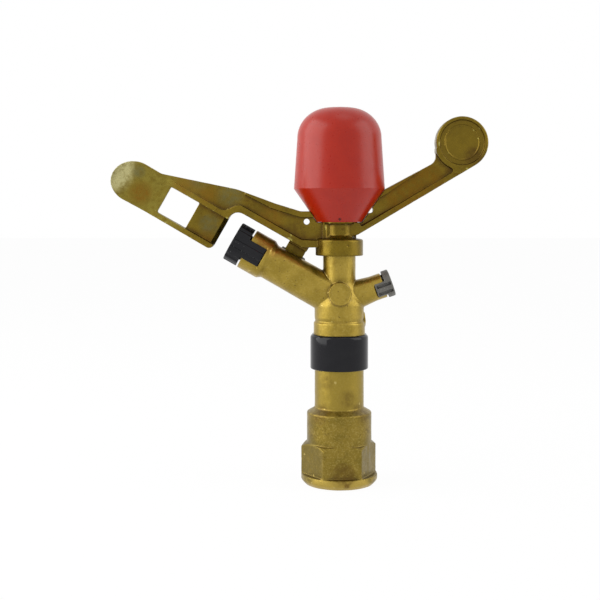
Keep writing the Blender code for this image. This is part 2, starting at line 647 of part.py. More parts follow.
def make_spindle():
    flange_bottom = TUBE_FLANGE_TOP - TUBE_FLANGE_HEIGHT
    turned("spindle_tube", [
        (TUBE_BORE_RADIUS, TUBE_TOP),
        (TUBE_RADIUS - EDGE, TUBE_TOP),
        (TUBE_RADIUS, TUBE_TOP - EDGE),
        (TUBE_RADIUS, TUBE_FLANGE_TOP),
        (TUBE_FLANGE_RADIUS, TUBE_FLANGE_TOP),
        (TUBE_FLANGE_RADIUS, flange_bottom + EDGE),
        (TUBE_FLANGE_RADIUS - EDGE, flange_bottom),
        (TUBE_BORE_RADIUS + 2.0 * EDGE, flange_bottom),
        (TUBE_BORE_RADIUS, flange_bottom + 2.0 * EDGE),
    ], TURNED_BRASS, BARREL_STEPS)
    washer("upper_slip_washer", TUBE_FLANGE_RADIUS, UPPER_WASHER_TOP, WASHER_THICK, WHITE_PLASTIC)
    washer("seal_washer", TUBE_FLANGE_RADIUS, SEAL_TOP, SEAL_THICK, RUBBER)
    washer("lower_slip_washer", TUBE_FLANGE_RADIUS, LOWER_WASHER_TOP, WASHER_THICK, WHITE_PLASTIC)
    washer("neck_washer", NECK_WASHER_RADIUS, NECK_WASHER_TOP, WASHER_THICK, WHITE_PLASTIC)
    washer("spring_seat_washer", NECK_WASHER_RADIUS, SEAT_WASHER_TOP, SEAT_WASHER_THICK, STAINLESS)
    coil("friction_spring", FRICTION_RADIUS, FRICTION_WIRE_RADIUS, FRICTION_BOTTOM, FRICTION_TOP,
         FRICTION_PITCH, SPRING_STEEL)


def make_sand_guard():
    """A sleeve over the neck with an inner lip that the friction spring presses against the body."""
    recess = BODY_BAND_RADIUS + SEAT_GAP
    edge = (GUARD_RADIUS - GUARD_EDGE_RADIUS, GUARD_TOP - GUARD_EDGE_RADIUS)
    turned("sand_guard", [
        (recess, GUARD_TOP - EDGE),
        *arc(edge, GUARD_EDGE_RADIUS, 60.0, 0.0, 3),
        (GUARD_RADIUS, GUARD_BOTTOM + EDGE),
        (GUARD_RADIUS - EDGE, GUARD_BOTTOM),
        (GUARD_BORE_RADIUS, GUARD_BOTTOM),
        (GUARD_BORE_RADIUS, GUARD_LIP_TOP - GUARD_LIP_THICK),
        (TUBE_SEAT_RADIUS, GUARD_LIP_TOP - GUARD_LIP_THICK),
        (TUBE_SEAT_RADIUS, GUARD_LIP_TOP),
        (recess, GUARD_LIP_TOP),
    ], BLACK_PLASTIC)


# ---------------------------------------------------------------- head casting
def lobe_cutter(name, half_width, inner, outer, start, end, clearance):
    """A pair of blocks on both faces of a barrel, made along +Z for along_barrel."""
    bm = bmesh.new()
    for side in (-1.0, 1.0):
        block = bmesh.ops.create_cube(bm, size=1.0)
        depth = outer - inner
        size = (2.0 * (half_width + clearance), depth, end - start)
        bmesh.ops.scale(bm, vec=size, verts=block["verts"])
        bmesh.ops.translate(bm, vec=(0.0, side * (inner + depth / 2.0), (start + end) / 2.0),
                            verts=block["verts"])
    mesh = bpy.data.meshes.new(name)
    bm.to_mesh(mesh)
    bm.free()
    return add_object(name, mesh, CUTTERS)


def make_body_casting():
    """The Y of the head: lower band, two barrels, front boss and the post that carries the arm."""
    body = turned("body_casting", [
        (0.0, POST_TOP),
        (POST_RADIUS - EDGE, POST_TOP),
        (POST_RADIUS, POST_TOP - EDGE),
        (POST_RADIUS, BARREL_LEVEL + BODY_WAIST_RISE),
        (BODY_RADIUS, BARREL_LEVEL - BODY_WAIST_DROP),
        (BODY_RADIUS, BODY_BAND_TOP + EDGE),
        (BODY_BAND_RADIUS, BODY_BAND_TOP - EDGE),
        (BODY_BAND_RADIUS, BODY_BOTTOM),
        (0.0, BODY_BOTTOM),
    ], CAST_BRASS)

    collar_foot = MAIN_LENGTH - MAIN_COLLAR_LENGTH
    main_barrel = turned("main_barrel", [
        (0.0, MAIN_LENGTH),
        (MAIN_COLLAR_RADIUS - EDGE, MAIN_LENGTH),
        (MAIN_COLLAR_RADIUS, MAIN_LENGTH - EDGE),
        (MAIN_COLLAR_RADIUS, collar_foot + EDGE),
        (MAIN_COLLAR_RADIUS - EDGE, collar_foot),
        (MAIN_TIP_RADIUS, collar_foot - MAIN_COLLAR_SLOPE),
        (MAIN_ROOT_RADIUS, 0.0),
        (0.0, 0.0),
    ], steps=BARREL_STEPS, collection=CUTTERS)
    boolean(body, along_barrel(main_barrel, MAIN_RISE, -1.0), "UNION")

    side_barrel = turned("side_barrel", [
        (0.0, SIDE_LENGTH),
        (SIDE_TIP_RADIUS - EDGE, SIDE_LENGTH),
        (SIDE_TIP_RADIUS, SIDE_LENGTH - EDGE),
        (SIDE_TIP_RADIUS, SIDE_LENGTH - SIDE_TIP_LENGTH),
        (SIDE_ROOT_RADIUS, 0.0),
        (0.0, 0.0),
    ], steps=BARREL_STEPS, collection=CUTTERS)
    boolean(body, along_barrel(side_barrel, SIDE_RISE, 1.0), "UNION")

    boss = cylinder("front_boss", BOSS_RADIUS, 0.0, BOSS_FACE, BARREL_STEPS)
    boss.location = (0.0, 0.0, BOSS_LEVEL)
    boss.rotation_euler = (math.pi / 2.0, 0.0, 0.0)
    boolean(body, boss, "UNION")

    chamber_top = BARREL_LEVEL + CHAMBER_RISE
    water_way = turned("water_way", [
        (0.0, chamber_top),
        (CHAMBER_RADIUS / 2.0, chamber_top - 0.2 * CHAMBER_DOME),
        (CHAMBER_RADIUS, chamber_top - CHAMBER_DOME),
        (CHAMBER_RADIUS, TUBE_TOP + SEAT_GAP),
        (TUBE_SEAT_RADIUS, TUBE_TOP + SEAT_GAP),
        (TUBE_SEAT_RADIUS, BODY_BOTTOM - OVERCUT),
        (0.0, BODY_BOTTOM - OVERCUT),
    ], collection=CUTTERS)
    boolean(body, water_way, "DIFFERENCE")

    main_bore = turned("main_bore", [
        (0.0, MAIN_LENGTH + OVERCUT),
        (MAIN_SEAT_RADIUS, MAIN_LENGTH + OVERCUT),
        (MAIN_SEAT_RADIUS, MAIN_LENGTH - MAIN_SEAT_DEPTH),
        (MAIN_BORE_RADIUS, MAIN_LENGTH - MAIN_SEAT_DEPTH),
        (MAIN_BORE_RADIUS, 0.0),
        (0.0, 0.0),
    ], steps=BARREL_STEPS, collection=CUTTERS)
    boolean(body, along_barrel(main_bore, MAIN_RISE, -1.0), "DIFFERENCE")

    side_bore = turned("side_bore", [
        (0.0, SIDE_LENGTH + OVERCUT),
        (SIDE_SEAT_RADIUS, SIDE_LENGTH + OVERCUT),
        (SIDE_SEAT_RADIUS, SIDE_LENGTH - SIDE_SEAT_DEPTH),
        (SIDE_BORE_RADIUS, SIDE_LENGTH - SIDE_SEAT_DEPTH),
        (SIDE_BORE_RADIUS, 0.0),
        (0.0, 0.0),
    ], steps=BARREL_STEPS, collection=CUTTERS)
    boolean(body, along_barrel(side_bore, SIDE_RISE, 1.0), "DIFFERENCE")

    shaft_hole = cylinder("shaft_hole", SHAFT_BORE_RADIUS, SHAFT_BOTTOM - SEAT_GAP, POST_TOP + OVERCUT,
                          FINE_STEPS)
    boolean(weld(body), shaft_hole, "DIFFERENCE")

    main_notch = lobe_cutter(
        "main_notch", MAIN_LOBE_WIDTH / 2.0, MAIN_CAP_RADIUS - MAIN_LOBE_THICK - SEAT_GAP,
        MAIN_COLLAR_RADIUS + OVERCUT, MAIN_CAP_FOOT - MAIN_LOBE_LENGTH - SEAT_GAP,
        MAIN_LENGTH + OVERCUT, SEAT_GAP)
    boolean(body, along_barrel(main_notch, MAIN_RISE, -1.0), "DIFFERENCE")

    side_notch = lobe_cutter(
        "side_notch", SIDE_LOBE_WIDTH / 2.0, SIDE_CAP_RADIUS - SIDE_LOBE_THICK - SEAT_GAP,
        SIDE_ROOT_RADIUS + OVERCUT, SIDE_CAP_FOOT - SIDE_LOBE_LENGTH - SEAT_GAP,
        SIDE_LENGTH + OVERCUT, SEAT_GAP)
    turn_in_barrel(along_barrel(side_notch, SIDE_RISE, 1.0), SIDE_LOBE_TURN)
    boolean(body, side_notch, "DIFFERENCE")


def turn_in_barrel(item, angle):
    """Turns an object about its own barrel's axis."""
    item.rotation_mode = "QUATERNION"
    pitch = item.rotation_euler.to_quaternion()
    item.rotation_quaternion = pitch @ Matrix.Rotation(angle, 3, "Z").to_quaternion()
    return item


# ---------------------------------------------------------------- nozzles
def make_nozzle(name, material, face, cap_length, cap_radius, spigot_radius, spigot_depth,
                inlet_radius, outlet_radius, ring_level):
    """A nozzle's turned body along +Z: cap, spigot with O-ring groove, and a tapering bore."""
    cap_foot = face - cap_length
    spigot_foot = cap_foot - spigot_depth
    groove = RING_WIRE_RADIUS + SEAT_GAP
    groove_floor = spigot_radius - 2.0 * RING_WIRE_RADIUS - SEAT_GAP
    return turned(name, [
        (outlet_radius, face - OUTLET_RECESS),
        (outlet_radius + OUTLET_MARGIN, face - OUTLET_RECESS),
        (outlet_radius + OUTLET_MARGIN + OUTLET_RECESS, face),
        (cap_radius - EDGE, face),
        (cap_radius, face - EDGE),
        (cap_radius, cap_foot),
        (spigot_radius, cap_foot),
        (spigot_radius, ring_level + groove),
        (groove_floor, ring_level + groove),
        (groove_floor, ring_level - groove),
        (spigot_radius, ring_level - groove),
        (spigot_radius, spigot_foot + EDGE),
        (spigot_radius - EDGE, spigot_foot),
        (inlet_radius, spigot_foot),
        (outlet_radius, face - OUTLET_LENGTH),
    ], material, BARREL_STEPS)


def add_lobes(nozzle, name, half_width, inner, outer, start, end):
    """Two grip lobes on the nozzle's front and back, rounded to the cap's radius."""
    lobes = lobe_cutter(name, half_width, inner, outer + OVERCUT, start, end, 0.0)
    sleeve = cylinder(name + "_sleeve", outer - LOBE_STEP, start - OVERCUT, end + OVERCUT, BARREL_STEPS)
    boolean(lobes, sleeve, "INTERSECT")
    boolean(nozzle, lobes, "UNION")
    return [lobes, sleeve]


def place_all(items, rise, towards, angle=0.0):
    for item in items:
        along_barrel(item, rise, towards)
        if angle:
            turn_in_barrel(item, angle)


def make_nozzles():
    main_ring_level = MAIN_LENGTH - MAIN_RING_DEPTH
    main = make_nozzle("main_nozzle", BLACK_PLASTIC, MAIN_FACE, MAIN_CAP_LENGTH, MAIN_CAP_RADIUS,
                       MAIN_SPIGOT_RADIUS, MAIN_SPIGOT_LENGTH, MAIN_INLET_RADIUS, MAIN_OUTLET_RADIUS,
                       main_ring_level)
    pieces = add_lobes(main, "main_lobes", MAIN_LOBE_WIDTH / 2.0, MAIN_CAP_RADIUS - MAIN_LOBE_THICK,
                       MAIN_CAP_RADIUS, MAIN_CAP_FOOT - MAIN_LOBE_LENGTH, MAIN_CAP_FOOT + LOBE_ROOT)
    flutes = flute_cutter("main_flutes")
    boolean(main, flutes, "DIFFERENCE")
    place_all([main, flutes, *pieces], MAIN_RISE, -1.0)
    place_all([ring("main_nozzle_ring", MAIN_SPIGOT_RADIUS, main_ring_level)], MAIN_RISE, -1.0)

    side_ring_level = SIDE_LENGTH - SIDE_RING_DEPTH
    side = make_nozzle("secondary_nozzle", GREY_PLASTIC, SIDE_FACE, SIDE_CAP_LENGTH, SIDE_CAP_RADIUS,
                       SIDE_SPIGOT_RADIUS, SIDE_SPIGOT_LENGTH, SIDE_INLET_RADIUS, SIDE_OUTLET_RADIUS,
                       side_ring_level)
    pieces = add_lobes(side, "side_lobes", SIDE_LOBE_WIDTH / 2.0, SIDE_CAP_RADIUS - SIDE_LOBE_THICK,
                       SIDE_CAP_RADIUS, SIDE_CAP_FOOT - SIDE_LOBE_LENGTH, SIDE_CAP_FOOT + LOBE_ROOT)
    slots = slot_cutter("side_slots")
    boolean(side, slots, "DIFFERENCE")
    place_all([side, slots, *pieces], SIDE_RISE, 1.0, SIDE_LOBE_TURN)
    place_all([ring("secondary_nozzle_ring", SIDE_SPIGOT_RADIUS, side_ring_level)], SIDE_RISE, 1.0)


def flute_cutter(name):
    """Round flutes along the grip of the main nozzle, between its ridges."""
    reach = MAIN_CAP_RADIUS + FLUTE_LIFT
    start = MAIN_CAP_FOOT - MAIN_LOBE_LENGTH - OVERCUT
    end = MAIN_FACE + OVERCUT
    bm = bmesh.new()
    for i in range(FLUTE_COUNT):
        angle = 2.0 * math.pi * (i + 0.5) / FLUTE_COUNT
        flute = bmesh.ops.create_cone(bm, cap_ends=True, segments=FLUTE_SEGMENTS, radius1=FLUTE_RADIUS,
                                      radius2=FLUTE_RADIUS, depth=end - start)
        place = Matrix.Translation((reach * math.cos(angle), reach * math.sin(angle), (start + end) / 2.0))
        bmesh.ops.transform(bm, matrix=place, verts=flute["verts"])
    mesh = bpy.data.meshes.new(name)
    bm.to_mesh(mesh)
    bm.free()
    return add_object(name, mesh, CUTTERS)


def slot_cutter(name):
    """Two grip slots in each lobe of the secondary nozzle."""
    start = SIDE_CAP_FOOT - SIDE_LOBE_LENGTH + SLOT_MARGIN
    end = SIDE_FACE - SLOT_MARGIN
    bm = bmesh.new()
    for side in (-1.0, 1.0):
        for row in (-1.0, 1.0):
            block = bmesh.ops.create_cube(bm, size=1.0)
            bmesh.ops.scale(bm, vec=(SLOT_WIDTH, 2.0 * SLOT_DEPTH, end - start), verts=block["verts"])
            bmesh.ops.translate(bm, vec=(row * SLOT_OFFSET, side * SIDE_CAP_RADIUS, (start + end) / 2.0),
                                verts=block["verts"])
    mesh = bpy.data.meshes.new(name)
    bm.to_mesh(mesh)
    bm.free()
    return add_object(name, mesh, CUTTERS)


def ring(name, spigot_radius, level):
    """An O-ring in a spigot's groove, made along +Z."""
    centre = (spigot_radius - RING_WIRE_RADIUS, level)
    profile = arc(centre, RING_WIRE_RADIUS, 180.0, -120.0, 5)
    return turned(name, profile, RUBBER, FINE_STEPS)


def make_jet_straightener():
    """A cross of two thin vanes in a short sleeve, in the main barrel's bore."""
    outer = MAIN_BORE_RADIUS - SEAT_GAP
    inner = outer - VANE_SLEEVE_WALL
    end = MAIN_LENGTH - MAIN_SEAT_DEPTH - VANE_DEPTH
    start = end - VANE_LENGTH
    profile = ring_profile(inner, outer, start, end)
    sleeve = turned("jet_straightener", profile, WHITE_PLASTIC, BARREL_STEPS)
    bm = bmesh.new()
    for turn in (0.0, math.pi / 2.0):
        blade = bmesh.ops.create_cube(bm, size=1.0)
        bmesh.ops.scale(bm, vec=(inner + outer, VANE_THICK, VANE_LENGTH - OVERCUT),
                        verts=blade["verts"])
        bmesh.ops.rotate(bm, matrix=Matrix.Rotation(turn, 3, "Z"), verts=blade["verts"])
        bmesh.ops.translate(bm, vec=(0.0, 0.0, (start + end) / 2.0), verts=blade["verts"])
    mesh = bpy.data.meshes.new("vanes")
    bm.to_mesh(mesh)
    bm.free()
    vanes = add_object("vanes", mesh, CUTTERS)
    boolean(sleeve, vanes, "UNION")
    place_all([sleeve, vanes], MAIN_RISE, -1.0)


# ---------------------------------------------------------------- shaft, bushes, spring, cap
def make_shaft_group():
    cylinder("arm_shaft", SHAFT_RADIUS, SHAFT_BOTTOM, SHAFT_TOP, FINE_STEPS, PARTS, STAINLESS)
    turned("arm_washer", ring_profile(
        BUSH_BORE_RADIUS, POST_RADIUS, ARM_WASHER_TOP - ARM_WASHER_THICK, ARM_WASHER_TOP),
        WHITE_PLASTIC, FINE_STEPS)
    turned("lower_arm_bush", ring_profile(
        BUSH_BORE_RADIUS, BUSH_RADIUS, COLLAR_CEILING + SEAT_GAP,
        COLLAR_CEILING + BUSH_LENGTH), WHITE_PLASTIC, FINE_STEPS)
    lip_bottom = HUB_TOP + SEAT_GAP
    turned("upper_arm_bush", [
        (BUSH_BORE_RADIUS, lip_bottom + BUSH_LIP_THICK),
        (BUSH_LIP_RADIUS, lip_bottom + BUSH_LIP_THICK),
        (BUSH_LIP_RADIUS, lip_bottom),
        (BUSH_RADIUS, lip_bottom),
        (BUSH_RADIUS, HUB_TOP - BUSH_LENGTH),
        (BUSH_BORE_RADIUS, HUB_TOP - BUSH_LENGTH),
    ], WHITE_PLASTIC, FINE_STEPS)
    coil("arm_spring", ARM_SPRING_RADIUS, ARM_SPRING_WIRE_RADIUS, SPRING_BOTTOM, SPRING_TOP,
         ARM_SPRING_PITCH, SPRING_STEEL)
    turned("spring_retainer", ring_profile(
        SHAFT_BORE_RADIUS, RETAINER_RADIUS, RETAINER_BOTTOM, RETAINER_BOTTOM + RETAINER_THICK),
        TURNED_BRASS, FINE_STEPS)
    turned("shaft_clip", ring_profile(
        SHAFT_BORE_RADIUS, CLIP_RADIUS, CLIP_BOTTOM, CLIP_BOTTOM + CLIP_THICK),
        STAINLESS, FINE_STEPS)


def cap_outline(grow, first_level, segments):
    """The cap's outside from crown to mouth, moved outward by grow and cut off at first_level."""
    shoulder = CAP_TOP - CAP_SHOULDER
    crown = []
    for step in range(segments + 1):
        angle = math.radians(90.0 * (1.0 - step / segments))
        reach = CAP_SHOULDER_RADIUS - CAP_CROWN_RADIUS
        crown.append((CAP_CROWN_RADIUS + (reach + grow) * math.cos(angle),
                      CAP_SHOULDER + (shoulder + grow) * math.sin(angle)))
    cone_slope = (CAP_RADIUS - CAP_MOUTH_RADIUS) / (CAP_CONE_TOP - CAP_BOTTOM)
    side_grow = grow * math.sqrt(1.0 + cone_slope ** 2)
    mouth = CAP_MOUTH_RADIUS + side_grow + (first_level - CAP_BOTTOM) * cone_slope
    return crown + [(CAP_RADIUS + grow, CAP_CONE_TOP), (mouth, first_level)]


def room_around_cap(name, grow):
    """A solid that is larger than the cap by grow all round, its mouth included."""
    return turned(name, [
        (0.0, CAP_TOP + grow + OVERCUT),
        *cap_outline(grow, CAP_BOTTOM - grow, 3),
        (0.0, CAP_BOTTOM - grow),
    ], collection=CUTTERS)


def make_spring_cap():
    """A hollow cap with a socket under its crown that grips the shaft's top."""
    outside = cap_outline(0.0, CAP_BOTTOM, 7)
    inside = cap_outline(-CAP_WALL, CAP_BOTTOM, 4)
    profile = [(0.0, CAP_TOP)] + outside + list(reversed(inside[1:])) + [
        (CAP_SOCKET_RADIUS, inside[0][1]),
        (CAP_SOCKET_RADIUS, SOCKET_BOTTOM),
        (SHAFT_BORE_RADIUS, SOCKET_BOTTOM),
        (SHAFT_BORE_RADIUS, SHAFT_TOP + SEAT_GAP),
        (0.0, SHAFT_TOP + SEAT_GAP),
    ]
    turned("spring_cap", profile, RED_PLASTIC)


# ---------------------------------------------------------------- impact arm
def jet_point(s, y, t):
    x, z = jet(s, t)
    return (x, y, z)


def side_prism(name, section, low, high):
    """A section in (s, y) swept square to the jet, from t = low to t = high."""
    return between(name, [jet_point(s, y, low) for s, y in section],
                         [jet_point(s, y, high) for s, y in section])


def cross_prism(name, section, start, end):
    """A section in (y, t) swept along the jet, from s = start to s = end."""
    return between(name, [jet_point(start, y, t) for y, t in section],
                         [jet_point(end, y, t) for y, t in section])


def scoop(offset, segments):
    """The spoon's curve in (s, y): an arc that leaves the plate and turns towards -Y."""
    radius = SPOON_SCOOP_RADIUS + offset
    centre = (SCOOP_START, SPOON_FLOOR - SPOON_SCOOP_RADIUS)
    reach = SPOON_END + OVERCUT - SCOOP_START
    end = 90.0 - math.degrees(math.asin(reach / radius))
    return arc(centre, radius, 90.0, end, segments)


def spoon_bar():
    """The left half of the arm: bar over the barrel and spoon in front of the nozzle."""
    edge = SPOON_START
    outline = rounded([
        (HUB_OVERLAP, ARM_TOP, 0.0),
        (-ARM_TOP_REACH, ARM_TOP, ARM_ROUND),
        (*jet(edge + CREST_ROOT.x, CREST_ROOT.y), CREST_ROUND),
        (*jet(edge + CREST_TIP.x, CREST_TIP.y), CREST_ROUND),
        (*jet(edge + CREST_END, SPOON_HIGH), ARM_ROUND),
        (*jet(SPOON_END, SPOON_HIGH), SPOON_RADIUS),
        (*jet(SPOON_END, SPOON_LOW), 0.98 * SPOON_RADIUS),
        (*jet(edge, SPOON_LOW), SPOON_EDGE_ROUND),
        (*jet(edge, UNDERSIDE), UNDERSIDE_CORNER),
        (*jet(UNDERSIDE_START, UNDERSIDE), POCKET_ROUND),
        (0.0, HUB_UNDERSIDE, 0.0),
        (HUB_OVERLAP, HUB_UNDERSIDE, 0.0),
    ], 4)
    bar = prism("impact_arm", outline, -ARM_CUT, ARM_CUT, material=ARM_BRASS, collection=PARTS)
    section = [
        (-CAP_RADIUS, -ARM_HALF_DEPTH),
        (edge + EDGE, -ARM_HALF_DEPTH),
        (RIB_END, SPOON_FLOOR),
        *scoop(0.0, 6),
        *reversed(scoop(SPOON_PLATE, 6)),
        (-CAP_RADIUS, ARM_HALF_DEPTH),
    ]
    boolean(bar, side_prism("arm_side", section, SWEEP_LOW, SWEEP_HIGH), "INTERSECT")
    return bar


def cut_spoon(arm):
    """Channel between the spoon's ribs, window, leading edge, and the pockets beside the web."""
    edge = SPOON_START
    channel = side_prism("spoon_channel", [
        (edge - OVERCUT, -ARM_CUT),
        (RIB_END, -ARM_CUT),
        (RIB_END - EDGE, SPOON_FLOOR),
        (edge + LEADING_BEVEL, SPOON_FLOOR),
        (edge, ARM_HALF_DEPTH - LEADING_EDGE),
        (edge - OVERCUT, ARM_HALF_DEPTH - LEADING_EDGE),
    ], WINDOW_LOW, WINDOW_HIGH)
    boolean(arm, channel, "DIFFERENCE")

    window_top = WINDOW_HIGH - WINDOW_STEP
    window_foot = WINDOW_LOW + WINDOW_STEP
    window = prism("spoon_window", rounded(jet_corners([
        (edge + WINDOW_START, window_top, EDGE),
        (WINDOW_END, window_top, 2.0 * EDGE),
        (WINDOW_END, window_foot, 4.0 * EDGE),
        (edge + WINDOW_START, window_foot, EDGE),
    ])), -ARM_CUT, ARM_CUT)
    boolean(arm, window, "DIFFERENCE")

    pocket_low = UNDERSIDE + LOWER_RIB
    pocket_outline = rounded([
        (-HUB_RADIUS, ARM_TOP - UPPER_RIB, 0.0),
        (-ARM_TOP_REACH, ARM_TOP - UPPER_RIB, ARM_ROUND),
        (*jet(edge + CREST_ROOT.x, CREST_ROOT.y - UPPER_RIB), CREST_ROUND),
        (*jet(edge - POCKET_TOP, CREST_TIP.y - EDGE), 0.0),
        (*jet(edge, CREST_TIP.y + ARM_ROUND), 0.0),
        (*jet(edge + POCKET_END, CREST_TIP.y), 0.0),
        (*jet(edge + POCKET_END, SPOON_HIGH - POCKET_STEP), 0.0),
        (*jet(edge + POCKET_NOSE, WINDOW_HIGH + POCKET_RIB), POCKET_ROUND),
        (*jet(edge - POCKET_TOP, pocket_low), POCKET_ROUND),
        (*jet(UNDERSIDE_START + POCKET_START, pocket_low), POCKET_ROUND),
        (-HUB_RADIUS, HUB_UNDERSIDE + LOWER_RIB, 0.0),
    ], 4)
    beyond = SPOON_END + OVERCUT
    front_floor = [
        (-CAP_RADIUS, -ARM_CUT - OVERCUT),
        (beyond, -ARM_CUT - OVERCUT),
        (beyond, SPOON_FLOOR + POCKET_STEP),
        (RIB_END - 2.0 * EDGE, SPOON_FLOOR + POCKET_STEP),
        (edge - WEB_END, -WEB_HALF_DEPTH),
        (-CAP_RADIUS, -WEB_HALF_DEPTH),
    ]
    back_floor = [
        (-CAP_RADIUS, ARM_CUT + OVERCUT),
        (-CAP_RADIUS, WEB_HALF_DEPTH),
        (edge - WEB_END, WEB_HALF_DEPTH),
        (RIB_END, ARM_HALF_DEPTH + POCKET_STEP),
        (beyond, ARM_HALF_DEPTH + OVERCUT),
        (beyond, ARM_CUT + OVERCUT),
    ]
    for name, floor in (("front_pocket", front_floor), ("back_pocket", back_floor)):
        pocket = prism(name, pocket_outline, -ARM_CUT, ARM_CUT)
        boolean(pocket, side_prism(name + "_floor", floor, SWEEP_LOW, SWEEP_HIGH), "INTERSECT")
        if name == "back_pocket":
            boolean(pocket, room_around_cap("pocket_stop", CAP_BACKING), "DIFFERENCE")
        boolean(arm, pocket, "DIFFERENCE")


def weight_point(along, out):
    """Point of the counterweight bar's frame as a world (x, z)."""
    forward = Vector((math.cos(WEIGHT_RISE), math.sin(WEIGHT_RISE)))
    normal = Vector((-forward.y, forward.x))
    return WEIGHT_ROOT + forward * along + normal * out


def weight_disc(radius, half_depth):
    return turned("weight_disc", [
        (0.0, half_depth),
        (radius - WEIGHT_EDGE, half_depth),
        (radius, half_depth - WEIGHT_EDGE),
        (radius, WEIGHT_EDGE - half_depth),
        (radius - WEIGHT_EDGE, -half_depth),
        (0.0, -half_depth),
    ], collection=CUTTERS)


def weight_face(half_depth):
    """Cuts the recess in the disc's front and leaves the thin raised ring in it."""
    rim = WEIGHT_RADIUS - WEIGHT_RIM
    floor = half_depth - WEIGHT_RECESS
    return turned("weight_face", [
        (0.0, half_depth + OVERCUT),
        (rim, half_depth + OVERCUT),
        (rim, half_depth),
        (rim - EDGE, floor),
        (WEIGHT_RING_RADIUS + WEIGHT_RING_WIDTH / 2.0, floor),
        (WEIGHT_RING_RADIUS, floor + WEIGHT_RING_HEIGHT),
        (WEIGHT_RING_RADIUS - WEIGHT_RING_WIDTH / 2.0, floor),
        (0.0, floor),
    ], collection=CUTTERS)


def weight_bar(arm):
    """The right half of the arm: ribbed bar and counterweight disc with a recessed face."""
    disc_centre = weight_point(WEIGHT_REACH, WEIGHT_RADIUS)
    neck = WEIGHT_REACH - WEIGHT_RADIUS
    end_width = WEIGHT_BAR_WIDTH_END
    root_width = WEIGHT_BAR_WIDTH_ROOT
    bar = prism("weight_bar", rounded([
        (-HUB_OVERLAP, HUB_UNDERSIDE + LOWER_RIB, 0.0),
        (*WEIGHT_ROOT, 0.0),
        (*weight_point(WEIGHT_REACH, 0.0), 0.0),
        (*disc_centre, 0.0),
        (*weight_point(neck + EDGE, end_width + WEIGHT_FILLET), 0.0),
        (*weight_point(neck - WEIGHT_RIB, end_width), POCKET_ROUND),
        (*weight_point(WEIGHT_ROOT_LENGTH, root_width), 0.0),
        (*weight_point(WEIGHT_SHELF, root_width), 0.0),
        (-HUB_OVERLAP, CAP_BOTTOM + WEIGHT_SHELF, 0.0),
    ]), -WEIGHT_BAR_HALF_DEPTH, WEIGHT_BAR_HALF_DEPTH)

    pocket = rounded([
        (*weight_point(WEIGHT_POCKET_START, WEIGHT_RIB), 0.0),
        (*weight_point(WEIGHT_REACH - WEIGHT_POCKET_END, WEIGHT_RIB), WEIGHT_RIM),
        (*weight_point(neck + WEIGHT_RIB, end_width + WEIGHT_FILLET), 0.0),
        (*weight_point(WEIGHT_POCKET_OPEN, end_width + WEIGHT_FILLET), 0.0),
        (*weight_point(WEIGHT_POCKET_OPEN, end_width), 0.0),
        (*weight_point(WEIGHT_ROOT_LENGTH, root_width - WEIGHT_RIB_HIGH), 0.0),
        (*weight_point(WEIGHT_POCKET_START, root_width - WEIGHT_RIB_HIGH), 0.0),
    ])
    front_hollow = prism("weight_pocket_front", pocket, -ARM_CUT, -WEB_HALF_DEPTH)
    boolean(bar, front_hollow, "DIFFERENCE")
    back_hollow = prism("weight_pocket_back", pocket, WEB_HALF_DEPTH, ARM_CUT)
    boolean(back_hollow, room_around_cap("weight_stop", CAP_BACKING), "DIFFERENCE")
    boolean(bar, back_hollow, "DIFFERENCE")

    disc = weight_disc(WEIGHT_RADIUS, ARM_HALF_DEPTH)
    face = weight_face(ARM_HALF_DEPTH)
    for item, operation in ((disc, "UNION"), (face, "DIFFERENCE")):
        item.location = (disc_centre.x, 0.0, disc_centre.y)
        item.rotation_euler = (math.pi / 2.0, 0.0, 0.0)
        boolean(bar, item, operation)
    boolean(arm, weld(bar), "UNION")
    weld(arm)


def make_hub(arm):
    """Hub with side ribs, flared foot and collar over the post, bored for shaft, bushes and post."""
    foot = COLLAR_TOP - COLLAR_ROUND
    head = CAP_GAP_BOTTOM + OVERCUT
    cheeks = prism("hub_cheeks", rounded([
        (-HUB_RIB_LEFT, foot, 0.0),
        (HUB_RIB_RIGHT, foot, 0.0),
        (HUB_RIB_RIGHT, head, 0.0),
        (-HUB_RIB_LEFT, head, 0.0),
    ]), -HUB_RIB_HALF_DEPTH, HUB_RIB_HALF_DEPTH)
    boolean(arm, cheeks, "UNION")

    boolean(arm, room_around_cap("cap_room", CAP_CLEARANCE), "DIFFERENCE")

    step = CAP_GAP_BOTTOM - HUB_STEP_DROP
    hub = turned("arm_hub", [
        (0.0, HUB_TOP),
        (HUB_TUBE_RADIUS, HUB_TOP),
        (HUB_TUBE_RADIUS, step),
        (HUB_RADIUS, step - EDGE),
        (HUB_RADIUS, COLLAR_TOP + HUB_FLARE_RISE),
        (HUB_RADIUS + HUB_FLARE, COLLAR_TOP + EDGE),
        (COLLAR_RADIUS - COLLAR_ROUND, COLLAR_TOP),
        (COLLAR_RADIUS - 0.3 * COLLAR_ROUND, COLLAR_TOP - 0.3 * COLLAR_ROUND),
        (COLLAR_RADIUS, COLLAR_TOP - COLLAR_ROUND),
        (COLLAR_RADIUS, COLLAR_BOTTOM + EDGE),
        (COLLAR_RADIUS - EDGE, COLLAR_BOTTOM),
        (0.0, COLLAR_BOTTOM),
    ], collection=CUTTERS)
    boolean(arm, hub, "UNION")

    bore = turned("arm_bore", [
        (0.0, HUB_TOP + OVERCUT),
        (HUB_BORE_RADIUS, HUB_TOP + OVERCUT),
        (HUB_BORE_RADIUS, COLLAR_CEILING),
        (COLLAR_BORE_RADIUS, COLLAR_CEILING),
        (COLLAR_BORE_RADIUS, COLLAR_BOTTOM - OVERCUT),
        (0.0, COLLAR_BOTTOM - OVERCUT),
    ], collection=CUTTERS)
    boolean(arm, bore, "DIFFERENCE")
    weld(arm)


